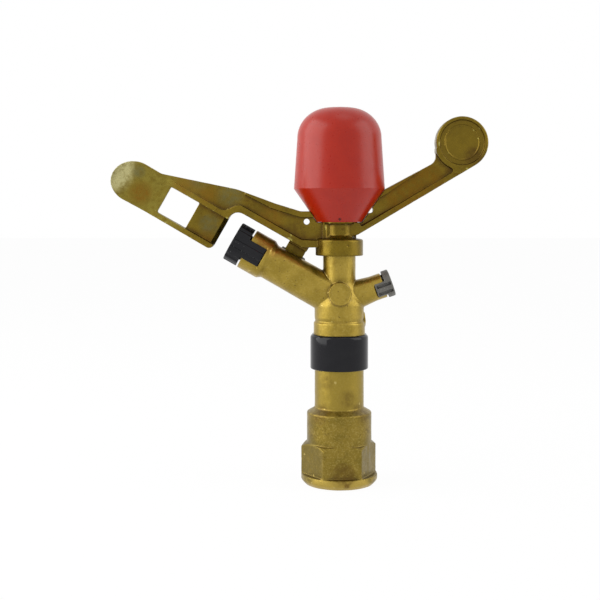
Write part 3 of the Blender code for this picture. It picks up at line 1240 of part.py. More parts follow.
def make_lug():
    """The striking lug: a shelf from the lower rib to +Y, and a tab that hangs beside the barrel."""
    top = UNDERSIDE + LOWER_RIB - LUG_STEP
    low = UNDERSIDE - LUG_DROP
    section = [
        (0.0, top),
        (LUG_FAR - LUG_DROP, top),
        (LUG_FAR, top - LUG_DROP),
        (LUG_FAR, -LUG_REACH),
        (LUG_NEAR, -LUG_REACH),
        (LUG_NEAR, low),
        (0.0, low),
    ]
    return cross_prism("lug", section, LUG_START, LUG_END)


def make_impact_arm():
    arm = spoon_bar()
    cut_spoon(arm)
    weight_bar(arm)
    make_hub(arm)
    for name, (x, rise) in (("left_eye", LEFT_EYE), ("right_eye", RIGHT_EYE)):
        eye = cylinder(name, EYE_RADIUS, -ARM_CUT, ARM_CUT, FINE_STEPS // 2)
        eye.location = (x, 0.0, POST_TOP + rise)
        eye.rotation_euler = (math.pi / 2.0, 0.0, 0.0)
        boolean(arm, eye, "DIFFERENCE")
    boolean(arm, make_lug(), "UNION")


def make_arm_buffer():
    """A soft pad slipped over the lug's lower end: four walls and a floor."""
    top = MAIN_ROOT_RADIUS + BUFFER_RISE
    wall = BUFFER_WALL + SEAT_GAP
    pad = prism("arm_buffer", rounded(jet_corners([
        (LUG_START - wall, top, 0.0),
        (LUG_END + wall, top, 0.0),
        (LUG_END + wall, -LUG_REACH - wall, BUFFER_WALL),
        (LUG_START - wall, -LUG_REACH - wall, BUFFER_WALL),
    ])), LUG_NEAR - wall, LUG_FAR + wall, material=GREY_PLASTIC, collection=PARTS)
    room = prism("arm_buffer_room", rounded(jet_corners([
        (LUG_START - SEAT_GAP, top + OVERCUT, 0.0),
        (LUG_END + SEAT_GAP, top + OVERCUT, 0.0),
        (LUG_END + SEAT_GAP, -LUG_REACH - SEAT_GAP, 0.0),
        (LUG_START - SEAT_GAP, -LUG_REACH - SEAT_GAP, 0.0),
    ])), LUG_NEAR - SEAT_GAP, LUG_FAR + SEAT_GAP)
    boolean(pad, room, "DIFFERENCE")


make_base_socket()
make_spindle()
make_sand_guard()
make_body_casting()
make_nozzles()
make_jet_straightener()
make_shaft_group()
make_spring_cap()
make_impact_arm()
make_arm_buffer()

for piece in [item for item in PARTS.objects if item.modifiers.get("difference")]:
    weld(piece)

bpy.context.view_layer.update()
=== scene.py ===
import json
import math

import bmesh
import bpy
from mathutils import Matrix, Vector


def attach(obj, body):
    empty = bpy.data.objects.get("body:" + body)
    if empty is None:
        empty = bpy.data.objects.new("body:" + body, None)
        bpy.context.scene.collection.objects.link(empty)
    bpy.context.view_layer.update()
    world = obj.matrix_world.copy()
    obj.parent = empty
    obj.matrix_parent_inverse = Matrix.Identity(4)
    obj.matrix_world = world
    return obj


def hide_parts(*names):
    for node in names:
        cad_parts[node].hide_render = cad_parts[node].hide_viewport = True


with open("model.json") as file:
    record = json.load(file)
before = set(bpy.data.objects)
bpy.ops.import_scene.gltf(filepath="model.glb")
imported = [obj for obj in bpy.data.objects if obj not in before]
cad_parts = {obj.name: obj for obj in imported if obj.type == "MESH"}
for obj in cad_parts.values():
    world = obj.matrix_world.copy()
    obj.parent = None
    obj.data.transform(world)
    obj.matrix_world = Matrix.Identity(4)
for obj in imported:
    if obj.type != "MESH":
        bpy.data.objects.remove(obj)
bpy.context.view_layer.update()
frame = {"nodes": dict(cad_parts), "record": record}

# Sizes are in millimetres, and the helpers turn them into metres. The frame is the CAD's: the riser's axis
# is +Z from the inlet's mouth, the main barrel points to -X, and the camera looks along +Y.
MM = 0.001
LEVEL = 91.8                     # where both barrels' axes meet the riser's axis
MAIN_RISE = math.radians(29.5)   # how steeply the main barrel rises
SIDE_RISE = math.radians(19.6)   # and the secondary one
SIDE_TURN = math.radians(13.5)   # how far the secondary nozzle's lobes are turned round its barrel
FAR = 40.0                       # how far cutters reach past what they cut
SAME_POINT = 0.00001             # corners of a new solid nearer than this, in millimetres, are one
SAME_CUT = 0.00001               # the same after a cut, in metres
MOST_FACES = 190000              # triangles left in a casting after it is smoothed
BORE_STEPS = 96                  # sides of a bore or a small round piece
SMOOTH_STEPS = 160               # sides of a large round piece that isn't remeshed


# ---------------------------------------------------------------- mesh helpers
def make_object(name, mesh):
    item = bpy.data.objects.new(name, mesh)
    bpy.context.scene.collection.objects.link(item)
    return item


def solid_from(name, bm):
    """Turns a bmesh in millimetres into an object in metres, with its faces turned outward."""
    bmesh.ops.remove_doubles(bm, verts=bm.verts, dist=SAME_POINT)
    bmesh.ops.recalc_face_normals(bm, faces=bm.faces)
    bmesh.ops.scale(bm, vec=(MM, MM, MM), verts=bm.verts)
    mesh = bpy.data.meshes.new(name)
    bm.to_mesh(mesh)
    bm.free()
    return make_object(name, mesh)


def rounded(corners, segments=6):
    """Points of an outline from corners (x, z, radius), each round corner as an arc."""
    points = []
    count = len(corners)
    for i, corner in enumerate(corners):
        here = Vector(corner[:2])
        radius = corner[2] if len(corner) > 2 else 0.0
        if radius <= 0.0:
            points.append(here)
            continue
        before = (Vector(corners[i - 1][:2]) - here).normalized()
        after = (Vector(corners[(i + 1) % count][:2]) - here).normalized()
        half = before.angle(after) / 2.0
        centre = here + (before + after).normalized() * radius / math.sin(half)
        start = here + before * radius / math.tan(half) - centre
        sweep = start.angle_signed(here + after * radius / math.tan(half) - centre)
        for step in range(segments + 1):
            points.append(centre + start @ Matrix.Rotation(sweep * step / segments, 2))
    return points


def arc(centre, radius, start, end, segments):
    """Points on a circle, angles in degrees."""
    points = []
    for step in range(segments + 1):
        angle = math.radians(start + (end - start) * step / segments)
        points.append(Vector((centre[0] + radius * math.cos(angle), centre[1] + radius * math.sin(angle))))
    return points


def turned(name, corners, steps=128, segments=6):
    """A solid of revolution about Z from corners (radius, height, fillet) of its closed section."""
    profile = rounded(corners, segments)
    bm = bmesh.new()
    rings = []
    for point in profile:
        if abs(point.x) < 1e-9:
            rings.append([bm.verts.new((0.0, 0.0, point.y))])
            continue
        ring = []
        for step in range(steps):
            angle = 2.0 * math.pi * step / steps
            ring.append(bm.verts.new((point.x * math.cos(angle), point.x * math.sin(angle), point.y)))
        rings.append(ring)
    count = len(rings)
    for i in range(count):
        near, far = rings[i], rings[(i + 1) % count]
        if len(near) == 1 and len(far) == 1:
            continue
        for step in range(steps):
            after = (step + 1) % steps
            if len(near) == 1:
                bm.faces.new((near[0], far[step], far[after]))
            elif len(far) == 1:
                bm.faces.new((near[step], near[after], far[0]))
            else:
                bm.faces.new((near[step], near[after], far[after], far[step]))
    return solid_from(name, bm)


def rod(name, radius, low, high, steps=BORE_STEPS):
    """A plain cylinder about Z."""
    return turned(name, [(0.0, high), (radius, high), (radius, low), (0.0, low)], steps)


def block(name, size, centre):
    bm = bmesh.new()
    bmesh.ops.create_cube(bm, size=1.0)
    bmesh.ops.scale(bm, vec=size, verts=bm.verts)
    bmesh.ops.translate(bm, vec=centre, verts=bm.verts)
    return solid_from(name, bm)


def between(name, near_points, far_points):
    """A closed solid between two like outlines given as (x, y, z) points."""
    bm = bmesh.new()
    near = [bm.verts.new(point) for point in near_points]
    far = [bm.verts.new(point) for point in far_points]
    bm.faces.new(near)
    bm.faces.new(list(reversed(far)))
    for i in range(len(near)):
        j = (i + 1) % len(near)
        bm.faces.new((near[j], near[i], far[i], far[j]))
    return solid_from(name, bm)


def prism(name, outline, low, high):
    """An outline in the XZ plane from y = low to y = high."""
    return between(name, [(x, low, z) for x, z in outline], [(x, high, z) for x, z in outline])


def place(item, matrix):
    """Moves an object's mesh, so that the object itself stays at the frame's origin."""
    item.data.transform(matrix)
    return item


def on_barrel(item, rise, towards, turn=0.0):
    """Moves a piece made along +Z onto a barrel's axis; towards is -1 for -X and +1 for +X."""
    lean = Matrix.Rotation(towards * (math.pi / 2.0 - rise), 4, "Y")
    return place(item, Matrix.Translation((0.0, 0.0, LEVEL * MM)) @ lean @ Matrix.Rotation(turn, 4, "Z"))


def facing_front(item, x, z):
    """Moves a piece made along +Z so that its +Z points to -Y, with its axis through (x, z)."""
    return place(item, Matrix.Translation((x * MM, 0.0, z * MM)) @ Matrix.Rotation(math.pi / 2.0, 4, "X"))


def bake(item):
    """Replaces an object's mesh by what its modifiers make of it."""
    bpy.context.view_layer.update()
    depsgraph = bpy.context.evaluated_depsgraph_get()
    mesh = bpy.data.meshes.new_from_object(item.evaluated_get(depsgraph))
    item.modifiers.clear()
    item.data = mesh
    return item


def combine(item, tools, operation):
    """Cuts, joins or intersects an object with tools, which are used up."""
    for tool in tools:
        step = item.modifiers.new("cut", "BOOLEAN")
        step.operation = operation
        step.solver = "EXACT"
        step.object = tool
        weld = item.modifiers.new("weld", "WELD")
        weld.merge_threshold = SAME_CUT
    bake(item)
    for tool in tools:
        bpy.data.objects.remove(tool, do_unlink=True)
    return item


def cast(item, voxel, passes, waves=0.0, wave_size=6.0, grain=0.0, grain_size=1.2):
    """Rounds all edges as a casting's are: remesh, smooth, then press in low waves and a fine grain."""
    remesh = item.modifiers.new("remesh", "REMESH")
    remesh.mode = "VOXEL"
    remesh.voxel_size = voxel * MM
    remesh.use_smooth_shade = True
    smooth = item.modifiers.new("smooth", "SMOOTH")
    smooth.factor = 0.5
    smooth.iterations = passes
    for depth, size in ((waves, wave_size), (grain, grain_size)):
        if depth:
            clouds = bpy.data.textures.new(item.name + "_clouds", "CLOUDS")
            clouds.noise_scale = size * MM
            clouds.noise_depth = 1
            push = item.modifiers.new("push", "DISPLACE")
            push.texture = clouds
            push.texture_coords = "LOCAL"
            push.mid_level = 1.0
            push.strength = depth * MM
    bake(item)
    item.data.calc_loop_triangles()
    faces = len(item.data.loop_triangles)
    if faces > MOST_FACES:
        thin = item.modifiers.new("thin", "DECIMATE")
        thin.ratio = MOST_FACES / faces
        bake(item)
        item.data.shade_smooth()
    return item


def jet(s, t):
    """Jet-frame point, s along the main barrel and t square to it, as (x, z)."""
    return (-s * math.cos(MAIN_RISE) + t * math.sin(MAIN_RISE),
            LEVEL + s * math.sin(MAIN_RISE) + t * math.cos(MAIN_RISE))


def at_jet(s, t, y):
    """The same with a y, as (x, y, z)."""
    x, z = jet(s, t)
    return (x, y, z)


def jet_corners(corners):
    """Corners (s, t, radius) as (x, z, radius)."""
    return [(*jet(s, t), radius) for s, t, radius in corners]


def side_prism(name, section, low, high):
    """A section in (s, y) swept square to the jet, from t = low to t = high."""
    return between(name, *([at_jet(s, t, y) for s, y in section] for t in (low, high)))


def cross_prism(name, section, start, end):
    """A section in (y, t) swept along the jet, from s = start to s = end."""
    return between(name, *([at_jet(s, t, y) for y, t in section] for s in (start, end)))


# ---------------------------------------------------------------- base
HEX_TURN = math.radians(4.6)     # how far the hexagon's corner is turned from +X
HEX_SHIFT = -0.3                 # and how far its axis is off the riser's, along X
THREAD_FOOT = 0.46               # half widths of the thread's groove, as shares of its pitch
THREAD_CREST = 0.06


def helix_groove(name, radius_in, radius_out, pitch, low, high, steps=64):
    """The V of an internal pipe thread as a helical cutter."""
    turns = (high - low) / pitch
    count = int(turns * steps)
    bm = bmesh.new()
    rings = []
    for i in range(count + 1):
        angle = 2.0 * math.pi * i / steps
        z = low + pitch * i / steps
        ring = []
        for radius, rise in ((radius_in, -THREAD_FOOT * pitch), (radius_out, -THREAD_CREST * pitch),
                             (radius_out, THREAD_CREST * pitch), (radius_in, THREAD_FOOT * pitch)):
            ring.append(bm.verts.new((radius * math.cos(angle), radius * math.sin(angle), z + rise)))
        rings.append(ring)
    for near, far in zip(rings, rings[1:]):
        for k in range(len(near)):
            j = (k + 1) % len(near)
            bm.faces.new((near[k], near[j], far[j], far[k]))
    bm.faces.new(rings[0])
    bm.faces.new(list(reversed(rings[-1])))
    return solid_from(name, bm)


def make_base():
    """The riser and its hexagon socket, with a threaded inlet."""
    base = turned("socket", [
        (0.0, 61.5), (12.4, 61.5, 0.5), (12.4, 38.3, 1.0), (16.3, 36.0, 0.8), (16.3, 5.4, 0.5),
        (19.2, 5.4, 0.7), (19.2, 2.3, 2.4), (17.0, 0.0, 1.2), (0.0, 0.0),
    ])
    hexagon = rod("hexagon", 19.0, 2.7, 20.8, steps=6)
    place(hexagon, Matrix.Translation((HEX_SHIFT * MM, 0.0, 0.0)) @ Matrix.Rotation(HEX_TURN, 4, "Z"))
    shoulder = turned("hexagon_shoulder", [
        (0.0, 20.8), (17.0, 20.8), (19.3, 18.9), (19.3, 0.0), (0.0, 0.0),
    ])
    combine(hexagon, [shoulder], "INTERSECT")
    combine(base, [hexagon], "UNION")
    bore = turned("bore", [
        (0.0, FAR + 61.5), (8.8, FAR + 61.5), (8.8, 34.5), (11.3, 34.5), (11.3, 17.5), (12.06, 17.5),
        (12.06, 1.4), (13.46, 0.0), (13.46, -5.0), (0.0, -5.0),
    ], BORE_STEPS)
    thread = helix_groove("thread", radius_in=11.7, radius_out=13.2, pitch=1.814, low=-1.0, high=16.2)
    combine(base, [bore, thread], "DIFFERENCE")
    return cast(base, voxel=0.27, passes=3, waves=0.12, wave_size=5.0, grain=0.06, grain_size=0.8)


# ---------------------------------------------------------------- head
def make_guard():
    return turned("guard", [
        (13.3, 75.2, 0.3), (14.55, 75.2, 1.9), (14.55, 57.8, 0.6), (12.7, 57.8, 0.3), (12.7, 72.7, 0.2),
        (8.8, 72.7, 0.2), (8.8, 74.0), (13.3, 74.0),
    ], SMOOTH_STEPS, 8)


def barrel_blocks(name, half_width, inner, outer, start, end):
    """Two blocks on the front and back of a barrel that is made along +Z."""
    blocks = []
    for side in (-1.0, 1.0):
        low, high = sorted((side * inner, side * outer))
        blocks.append(block(name, size=(2.0 * half_width, high - low, end - start),
                            centre=(0.0, (low + high) / 2.0, (start + end) / 2.0)))
    return blocks


def make_body():
    """The head's casting: neck, both barrels, bare boss and mould flash, less its water ways and notches."""
    body = turned("casting", [
        (0.0, 117.4), (8.25, 117.4, 0.4), (8.25, 100.3, 6.0), (12.5, 90.8, 6.0), (12.45, 83.4, 2.0),
        (12.1, 81.9, 0.3), (12.95, 80.9, 0.3), (13.0, 74.3), (0.0, 74.3),
    ])
    main = on_barrel(turned("main_barrel", [
        (0.0, 53.3), (10.5, 53.3, 0.5), (10.5, 42.3, 0.8), (9.1, 40.1, 1.5), (9.5, 0.0), (0.0, 0.0),
    ]), MAIN_RISE, -1.0)
    side = on_barrel(turned("side_barrel", [
        (0.0, 23.6), (6.4, 23.6, 0.4), (6.4, 18.0, 6.0), (8.4, 0.0), (0.0, 0.0),
    ]), SIDE_RISE, 1.0)
    boss = facing_front(turned("boss", [
        (0.0, 13.5), (4.9, 13.5, 0.2), (5.2, 13.9, 0.2), (5.7, 13.7, 0.2), (5.7, 0.0), (0.0, 0.0),
    ]), 0.0, 96.0)
    combine(body, [main, side, boss], "UNION")
    flash = prism("flash", [Vector((9.0, 78.6)), Vector((13.2, 78.9)), Vector((13.5, 81.5)),
                            Vector((12.9, 86.0)), Vector((9.0, 87.0))], -0.7, 0.5)
    combine(body, [flash], "UNION")
    water_way = turned("water_way", [
        (0.0, 98.3), (3.5, 97.8), (7.0, 95.8), (7.0, 88.1), (8.8, 88.1), (8.8, 60.0), (0.0, 60.0),
    ], BORE_STEPS)
    main_bore = on_barrel(turned("main_bore", [
        (0.0, 70.0), (7.1, 70.0), (7.1, 38.3), (6.2, 38.3), (6.2, 0.0), (0.0, 0.0),
    ], BORE_STEPS), MAIN_RISE, -1.0)
    side_bore = on_barrel(turned("side_bore", [
        (0.0, 40.0), (4.1, 40.0), (4.1, 16.1), (3.0, 16.1), (3.0, 0.0), (0.0, 0.0),
    ], BORE_STEPS), SIDE_RISE, 1.0)
    shaft_hole = rod("shaft_hole", 3.3, 101.6, 130.0, steps=48)
    notches = [on_barrel(notch, MAIN_RISE, -1.0) for notch in
               barrel_blocks("main_notch", half_width=6.6, inner=8.45, outer=14.0, start=44.1, end=60.0)]
    notches += [on_barrel(notch, SIDE_RISE, 1.0, SIDE_TURN) for notch in
                barrel_blocks("side_notch", half_width=4.7, inner=5.45, outer=10.0, start=18.7, end=30.0)]
    combine(body, [water_way, main_bore, side_bore, shaft_hole, *notches], "DIFFERENCE")
    return cast(body, voxel=0.25, passes=3, waves=0.14, wave_size=6.0, grain=0.03, grain_size=1.0)


# ---------------------------------------------------------------- nozzles
RING_DEPTH = 1.3                 # of the groove for the nozzle's ring
RING_HALF = 0.8                  # half that groove's width
FLUTES = 12
FLUTE_CIRCLE = 10.65             # radius of the circle on which the flutes are centred


def nozzle_body(name, face, cap_length, cap_radius, spigot_radius, spigot_length, inlet, outlet, ring_level):
    """A nozzle about +Z: a cap, a spigot with a groove for its ring, and a bore that narrows to the outlet."""
    foot = face - cap_length
    floor = spigot_radius - RING_DEPTH
    return turned(name, [
        (outlet, face - 0.8), (outlet + 2.2, face - 0.8, 0.2), (outlet + 3.0, face, 0.3),
        (cap_radius, face, 0.6), (cap_radius, foot, 0.2), (spigot_radius, foot),
        (spigot_radius, ring_level + RING_HALF), (floor, ring_level + RING_HALF),
        (floor, ring_level - RING_HALF), (spigot_radius, ring_level - RING_HALF),
        (spigot_radius, foot - spigot_length, 0.3), (inlet, foot - spigot_length), (outlet, face - 4.0),
    ], BORE_STEPS)


def add_lobes(nozzle, lobes, sleeve_radius, low, high):
    """Joins lobes to a nozzle, with their outsides rounded to the sleeve's radius."""
    for lobe in lobes:
        combine(lobe, [rod("sleeve", sleeve_radius, low, high)], "INTERSECT")
    combine(nozzle, lobes, "UNION")


def make_main_nozzle():
    nozzle = nozzle_body("nozzle", face=61.4, cap_length=7.4, cap_radius=10.25, spigot_radius=6.8,
                         spigot_length=14.6, inlet=5.2, outlet=2.4, ring_level=42.3)
    lobes = barrel_blocks("lobe", half_width=6.3, inner=8.75, outer=14.0, start=44.4, end=55.0)
    add_lobes(nozzle, lobes, 10.15, 40.0, 60.0)
    flutes = []
    for i in range(FLUTES):
        angle = 2.0 * math.pi * (i + 0.5) / FLUTES
        across, up = FLUTE_CIRCLE * MM * math.cos(angle), FLUTE_CIRCLE * MM * math.sin(angle)
        flutes.append(place(rod("flute", 1.05, 42.0, 63.5, steps=24), Matrix.Translation((across, up, 0.0))))
    combine(nozzle, flutes, "DIFFERENCE")
    on_barrel(nozzle, MAIN_RISE, -1.0)
    return cast(nozzle, voxel=0.17, passes=3)


def make_side_nozzle():
    nozzle = nozzle_body("side_nozzle", face=27.8, cap_length=3.5, cap_radius=6.85, spigot_radius=3.8,
                         spigot_length=7.8, inlet=2.2, outlet=1.4, ring_level=19.2)
    lobes = barrel_blocks("lobe", half_width=4.4, inner=5.6, outer=9.0, start=19.0, end=25.3)
    add_lobes(nozzle, lobes, 6.75, 10.0, 40.0)
    slots = [block("slot", size=(1.5, 2.6, 7.4), centre=(row * 1.9, side * 7.05, 23.4))
             for side in (-1.0, 1.0) for row in (-1.0, 1.0)]
    combine(nozzle, slots, "DIFFERENCE")
    on_barrel(nozzle, SIDE_RISE, 1.0, SIDE_TURN)
    return cast(nozzle, voxel=0.13, passes=3)


# ---------------------------------------------------------------- cap
CAP_MOUTH = (11.35, 131.4)       # radius and level of the cap's mouth
CAP_EDGE = (22.8, 148.0)         # and of the edge where its cone meets its side
CROWN_CENTRE = (5.0, 173.5)      # radius and level of the centre of the crown's quarter ellipse
CROWN_REACH = (16.1, 15.1)       # how far that ellipse reaches out and up
CAP_WALL = 2.0
POCKET_ROOM = 1.8                # how far the arm's rear pockets keep from the cap, so that a wall is left
ARM_ROOM = 0.15                  # how far the arm itself keeps from it


def cap_outline(grow, mouth_level, segments):
    """The cap's outside from crown to mouth, moved outward by grow."""
    points = []
    for step in range(segments + 1):
        angle = math.radians(90.0 * (1.0 - step / segments))
        points.append((CROWN_CENTRE[0] + (CROWN_REACH[0] + grow) * math.cos(angle),
                       CROWN_CENTRE[1] + (CROWN_REACH[1] + grow) * math.sin(angle)))
    slope = (CAP_EDGE[0] - CAP_MOUTH[0]) / (CAP_EDGE[1] - CAP_MOUTH[1])
    mouth = CAP_MOUTH[0] + grow * math.sqrt(1.0 + slope ** 2) + (mouth_level - CAP_MOUTH[1]) * slope
    return points + [(CAP_EDGE[0] + grow, CAP_EDGE[1], 0.5), (mouth, mouth_level, 0.4)]


def room_around_cap(grow):
    """A cutter that clears the cap and all above it by grow."""
    low = CAP_MOUTH[1] - grow
    around = [(x, z) for x, z, *_ in cap_outline(grow, low, 8)]
    return turned("room", [(0.0, 200.0), (CROWN_CENTRE[0], 200.0)] + around + [(0.0, low)], BORE_STEPS)


def make_cap():
    outside = cap_outline(0.0, CAP_MOUTH[1], 24)
    inside = cap_outline(-CAP_WALL, CAP_MOUTH[1], 12)
    section = [(0.0, 188.6)] + outside + list(reversed(inside[1:]))
    section += [(5.8, inside[0][1]), (5.8, 168.5, 0.2), (3.3, 168.5), (3.3, 178.3), (0.0, 178.3)]
    cap = turned("cap", section, SMOOTH_STEPS)
    hole = turned("cap_hole", [(0.0, 30.0), (0.75, 30.0), (0.75, 11.3), (0.0, 11.1)], 32)
    facing_front(hole, -0.2, 132.9)
    return combine(cap, [hole], "DIFFERENCE")


# ---------------------------------------------------------------- impact arm
SPOON_CENTRE = (106.0, -28.0)    # of the spoon's bend, as (s, y)
SPOON_REACH = 25.7               # how far the bend goes on from there, along the jet
SPOON_RADII = (30.0, 32.5)       # of its front and back
WEIGHT_RISE = math.radians(30.7)
WEIGHT_START = (9.2, 125.0)      # where the weight's own axes start, as (x, z)
DISC_CENTRE = (68.2, 13.1)       # along the weight and out from it
THROUGH = 20.0                   # reach of a cutter to each side of y = 0, past all of the arm
BELOW, ABOVE = -30.0, 60.0       # reach of one square to the jet, past all of the arm


def spoon_curve(radius, segments):
    reach = math.degrees(math.asin(SPOON_REACH / radius))
    return [tuple(point) for point in arc(SPOON_CENTRE, radius, 90.0, 90.0 - reach, segments)]


def weight_point(along, out):
    """Point of the weight's own frame, along its bar and square to it, as (x, z)."""
    return (WEIGHT_START[0] + along * math.cos(WEIGHT_RISE) - out * math.sin(WEIGHT_RISE),
            WEIGHT_START[1] + along * math.sin(WEIGHT_RISE) + out * math.cos(WEIGHT_RISE))


def weight_corners(corners):
    return [(*weight_point(along, out), radius) for along, out, radius in corners]


def make_weight():
    """The arm's right side: a bar with a pocket on each face, and a disc with a turned recess."""
    bar = prism("weight_bar", rounded([
        (-2.3, 122.1, 0.0), (*WEIGHT_START, 0.0),
        *weight_corners([(DISC_CENTRE[0], 0.0, 0.0), (*DISC_CENTRE, 0.0), (55.5, 17.3, 0.0), (52.3, 11.5, 4.5),
                         (23.6, 12.7, 0.0), (5.0, 12.7, 0.0)]),
        (-2.3, 136.4, 0.0),
    ]), -4.4, 4.4)
    round_disc = [(*point, 0.0) for point in arc(DISC_CENTRE, 13.9, 215.0, 170.0, 6)]
    pocket = rounded(weight_corners([
        (3.5, 2.8, 1.0), (58.7, 2.8, 1.4), *round_disc, (54.5, 17.3, 0.0), (43.0, 17.3, 0.0), (43.0, 11.5, 0.0),
        (23.6, 10.3, 0.0), (3.5, 10.3, 1.0),
    ]))
    back = prism("pocket", pocket, 1.5, FAR)
    combine(back, [room_around_cap(POCKET_ROOM)], "DIFFERENCE")
    combine(bar, [prism("pocket", pocket, -FAR, -1.5), back], "DIFFERENCE")
    centre = weight_point(*DISC_CENTRE)
    disc = turned("disc", [(0.0, 4.5), (13.1, 4.5, 0.9), (13.1, -4.5, 0.9), (0.0, -4.5)])
    face = turned("face", [
        (0.0, FAR), (11.6, FAR), (11.4, 4.5), (11.0, 3.3), (8.9, 3.3), (8.75, 3.75), (8.35, 3.75),
        (8.2, 3.3), (0.0, 3.3),
    ])
    facing_front(disc, *centre)
    facing_front(face, *centre)
    combine(bar, [disc], "UNION")
    return combine(bar, [face], "DIFFERENCE")


def make_arm():
    """The arm's casting: its outline with the bent spoon, less window and pockets, then weight, hub and lug."""
    arm = prism("arm", rounded([
        (2.3, 136.8, 0.0), (-19.5, 136.8, 6.0),
        *jet_corners([(52.3, 26.7, 20.0), (72.3, 23.5, 20.0), (109.5, 11.5, 6.0), (129.4, 12.2, 10.8),
                      (129.4, -9.3, 9.9), (68.5, -9.3, 2.6), (68.5, 14.2, 5.0), (29.2, 14.2, 4.5)]),
        (0.0, 118.8, 0.0), (2.3, 118.8, 0.0),
    ], 10), -THROUGH, THROUGH)
    near_bend, far_bend = (spoon_curve(radius, 20) for radius in SPOON_RADII)
    section = [(-22.8, -4.5), (68.9, -4.5), (105.3, 2.0), *near_bend, *reversed(far_bend), (-22.8, 4.5)]
    combine(arm, [side_prism("side", section, BELOW, ABOVE)], "INTERSECT")

    channel = side_prism("channel", [
        (66.5, -THROUGH), (105.3, -THROUGH), (104.9, 2.0), (70.8, 2.0), (68.5, 3.9), (66.5, 3.9),
    ], -6.5, 8.15)
    window = prism("window", rounded(jet_corners([
        (85.5, 7.95, 0.4), (101.8, 7.95, 0.2), (101.8, -6.3, 0.7), (85.5, -6.3, 0.2),
    ])), -THROUGH, THROUGH)
    combine(arm, [channel, window], "DIFFERENCE")

    pocket_outline = rounded([
        (-6.6, 133.7, 0.0), (-19.5, 133.7, 6.0),
        *jet_corners([(52.3, 23.6, 20.0), (67.5, 23.1, 0.0), (68.5, 29.5, 0.0), (107.4, 23.5, 0.0),
                      (107.4, 11.2, 0.0), (72.5, 10.75, 4.5), (67.5, 17.5, 4.5), (31.5, 17.5, 4.5)]),
        (-6.6, 122.1, 0.0),
    ], 10)
    front = [(-22.8, -22.0), (131.7, -22.0), (131.7, 2.2), (104.5, 2.2), (63.5, -1.5), (-22.8, -1.5)]
    back = [(-22.8, 22.0), (-22.8, 1.5), (63.5, 1.5), (105.3, 4.7), (131.7, 6.5), (131.7, 22.0)]
    for floor in (front, back):
        pocket = prism("pocket", pocket_outline, -THROUGH, THROUGH)
        combine(pocket, [side_prism("floor", floor, BELOW, ABOVE)], "INTERSECT")
        if floor is back:
            combine(pocket, [room_around_cap(POCKET_ROOM)], "DIFFERENCE")
        combine(arm, [pocket], "DIFFERENCE")
    combine(arm, [make_weight()], "UNION")

    for right_end, low, high in ((6.5, -4.0, 0.5), (8.6, 0.0, 4.0)):
        cheeks = prism("cheeks", [Vector((-8.3, 121.7)), Vector((right_end, 121.7)),
                                  Vector((right_end, 133.0)), Vector((-8.3, 133.0))], low, high)
        combine(arm, [cheeks], "UNION")
    combine(arm, [room_around_cap(ARM_ROOM)], "DIFFERENCE")
    hub = turned("hub", [
        (0.0, 158.0), (6.2, 158.0, 0.3), (6.2, 132.6), (8.8, 132.6), (8.8, 130.6), (6.6, 130.4),
        (6.6, 125.0, 1.5), (8.2, 123.2, 0.5), (12.0, 122.8, 1.1), (12.0, 114.5, 0.4), (0.0, 114.5),
    ], BORE_STEPS)
    combine(arm, [hub], "UNION")
    bore = turned("bore", [
        (0.0, 170.0), (4.6, 170.0), (4.6, 119.2), (9.0, 119.2), (9.0, 100.0), (0.0, 100.0),
    ], BORE_STEPS)
    eyes = [facing_front(rod("eye", 1.4, -THROUGH, THROUGH, steps=32), x, z)
            for x, z in ((-16.4, 131.5), (15.4, 137.3))]
    drill_mark = facing_front(turned("drill_mark", [
        (0.0, THROUGH), (0.6, THROUGH), (0.6, 11.2), (0.0, 10.8),
    ], 24), 4.0, 119.8)
    combine(arm, [bore, drill_mark, *eyes], "DIFFERENCE")
    lug = cross_prism("lug", [(0.0, 17.0), (14.7, 17.0), (15.7, 16.0), (15.7, -2.0), (11.5, -2.0),
                              (11.5, 13.2), (0.0, 13.2)], 26.4, 36.6)
    combine(arm, [lug], "UNION")
    return cast(arm, voxel=0.24, passes=3, waves=0.12, wave_size=7.0, grain=0.02, grain_size=1.0)


def make_buffer():
    """The pad that slides over the arm's lug: a box open to the top, with a lower front wall."""
    pad = prism("pad", rounded(jet_corners([
        (24.7, 9.3, 0.6), (38.3, 9.3, 0.6), (38.3, -3.7, 1.4), (24.7, -3.7, 1.4),
    ])), 9.8, 17.4)
    room = prism("pad_room", rounded(jet_corners([
        (26.1, 20.0, 0.0), (36.9, 20.0, 0.0), (36.9, -2.3, 0.0), (26.1, -2.3, 0.0),
    ])), 11.2, 16.0)
    front_wall_top = prism("front_wall_top", rounded(jet_corners([
        (26.1, 20.0, 0.0), (36.9, 20.0, 0.0), (36.9, 8.1, 0.0), (26.1, 8.1, 0.0),
    ])), 5.0, 12.0)
    combine(pad, [room, front_wall_top], "DIFFERENCE")
    return cast(pad, voxel=0.15, passes=4)


# ---------------------------------------------------------------- materials
FIRST_COLOUR, SECOND_COLOUR, MIXED_COLOUR = 6, 7, 2     # a Mix node's sockets when it mixes colours
FIRST_VALUE, SECOND_VALUE, MIXED_VALUE = 2, 3, 0        # and when it mixes numbers
SLAB_FADE = 0.4                  # over which a slab of colour fades out
FILM_ROUGHNESS = 0.24            # of the dull film on cast brass
FILM_IOR = 1.6


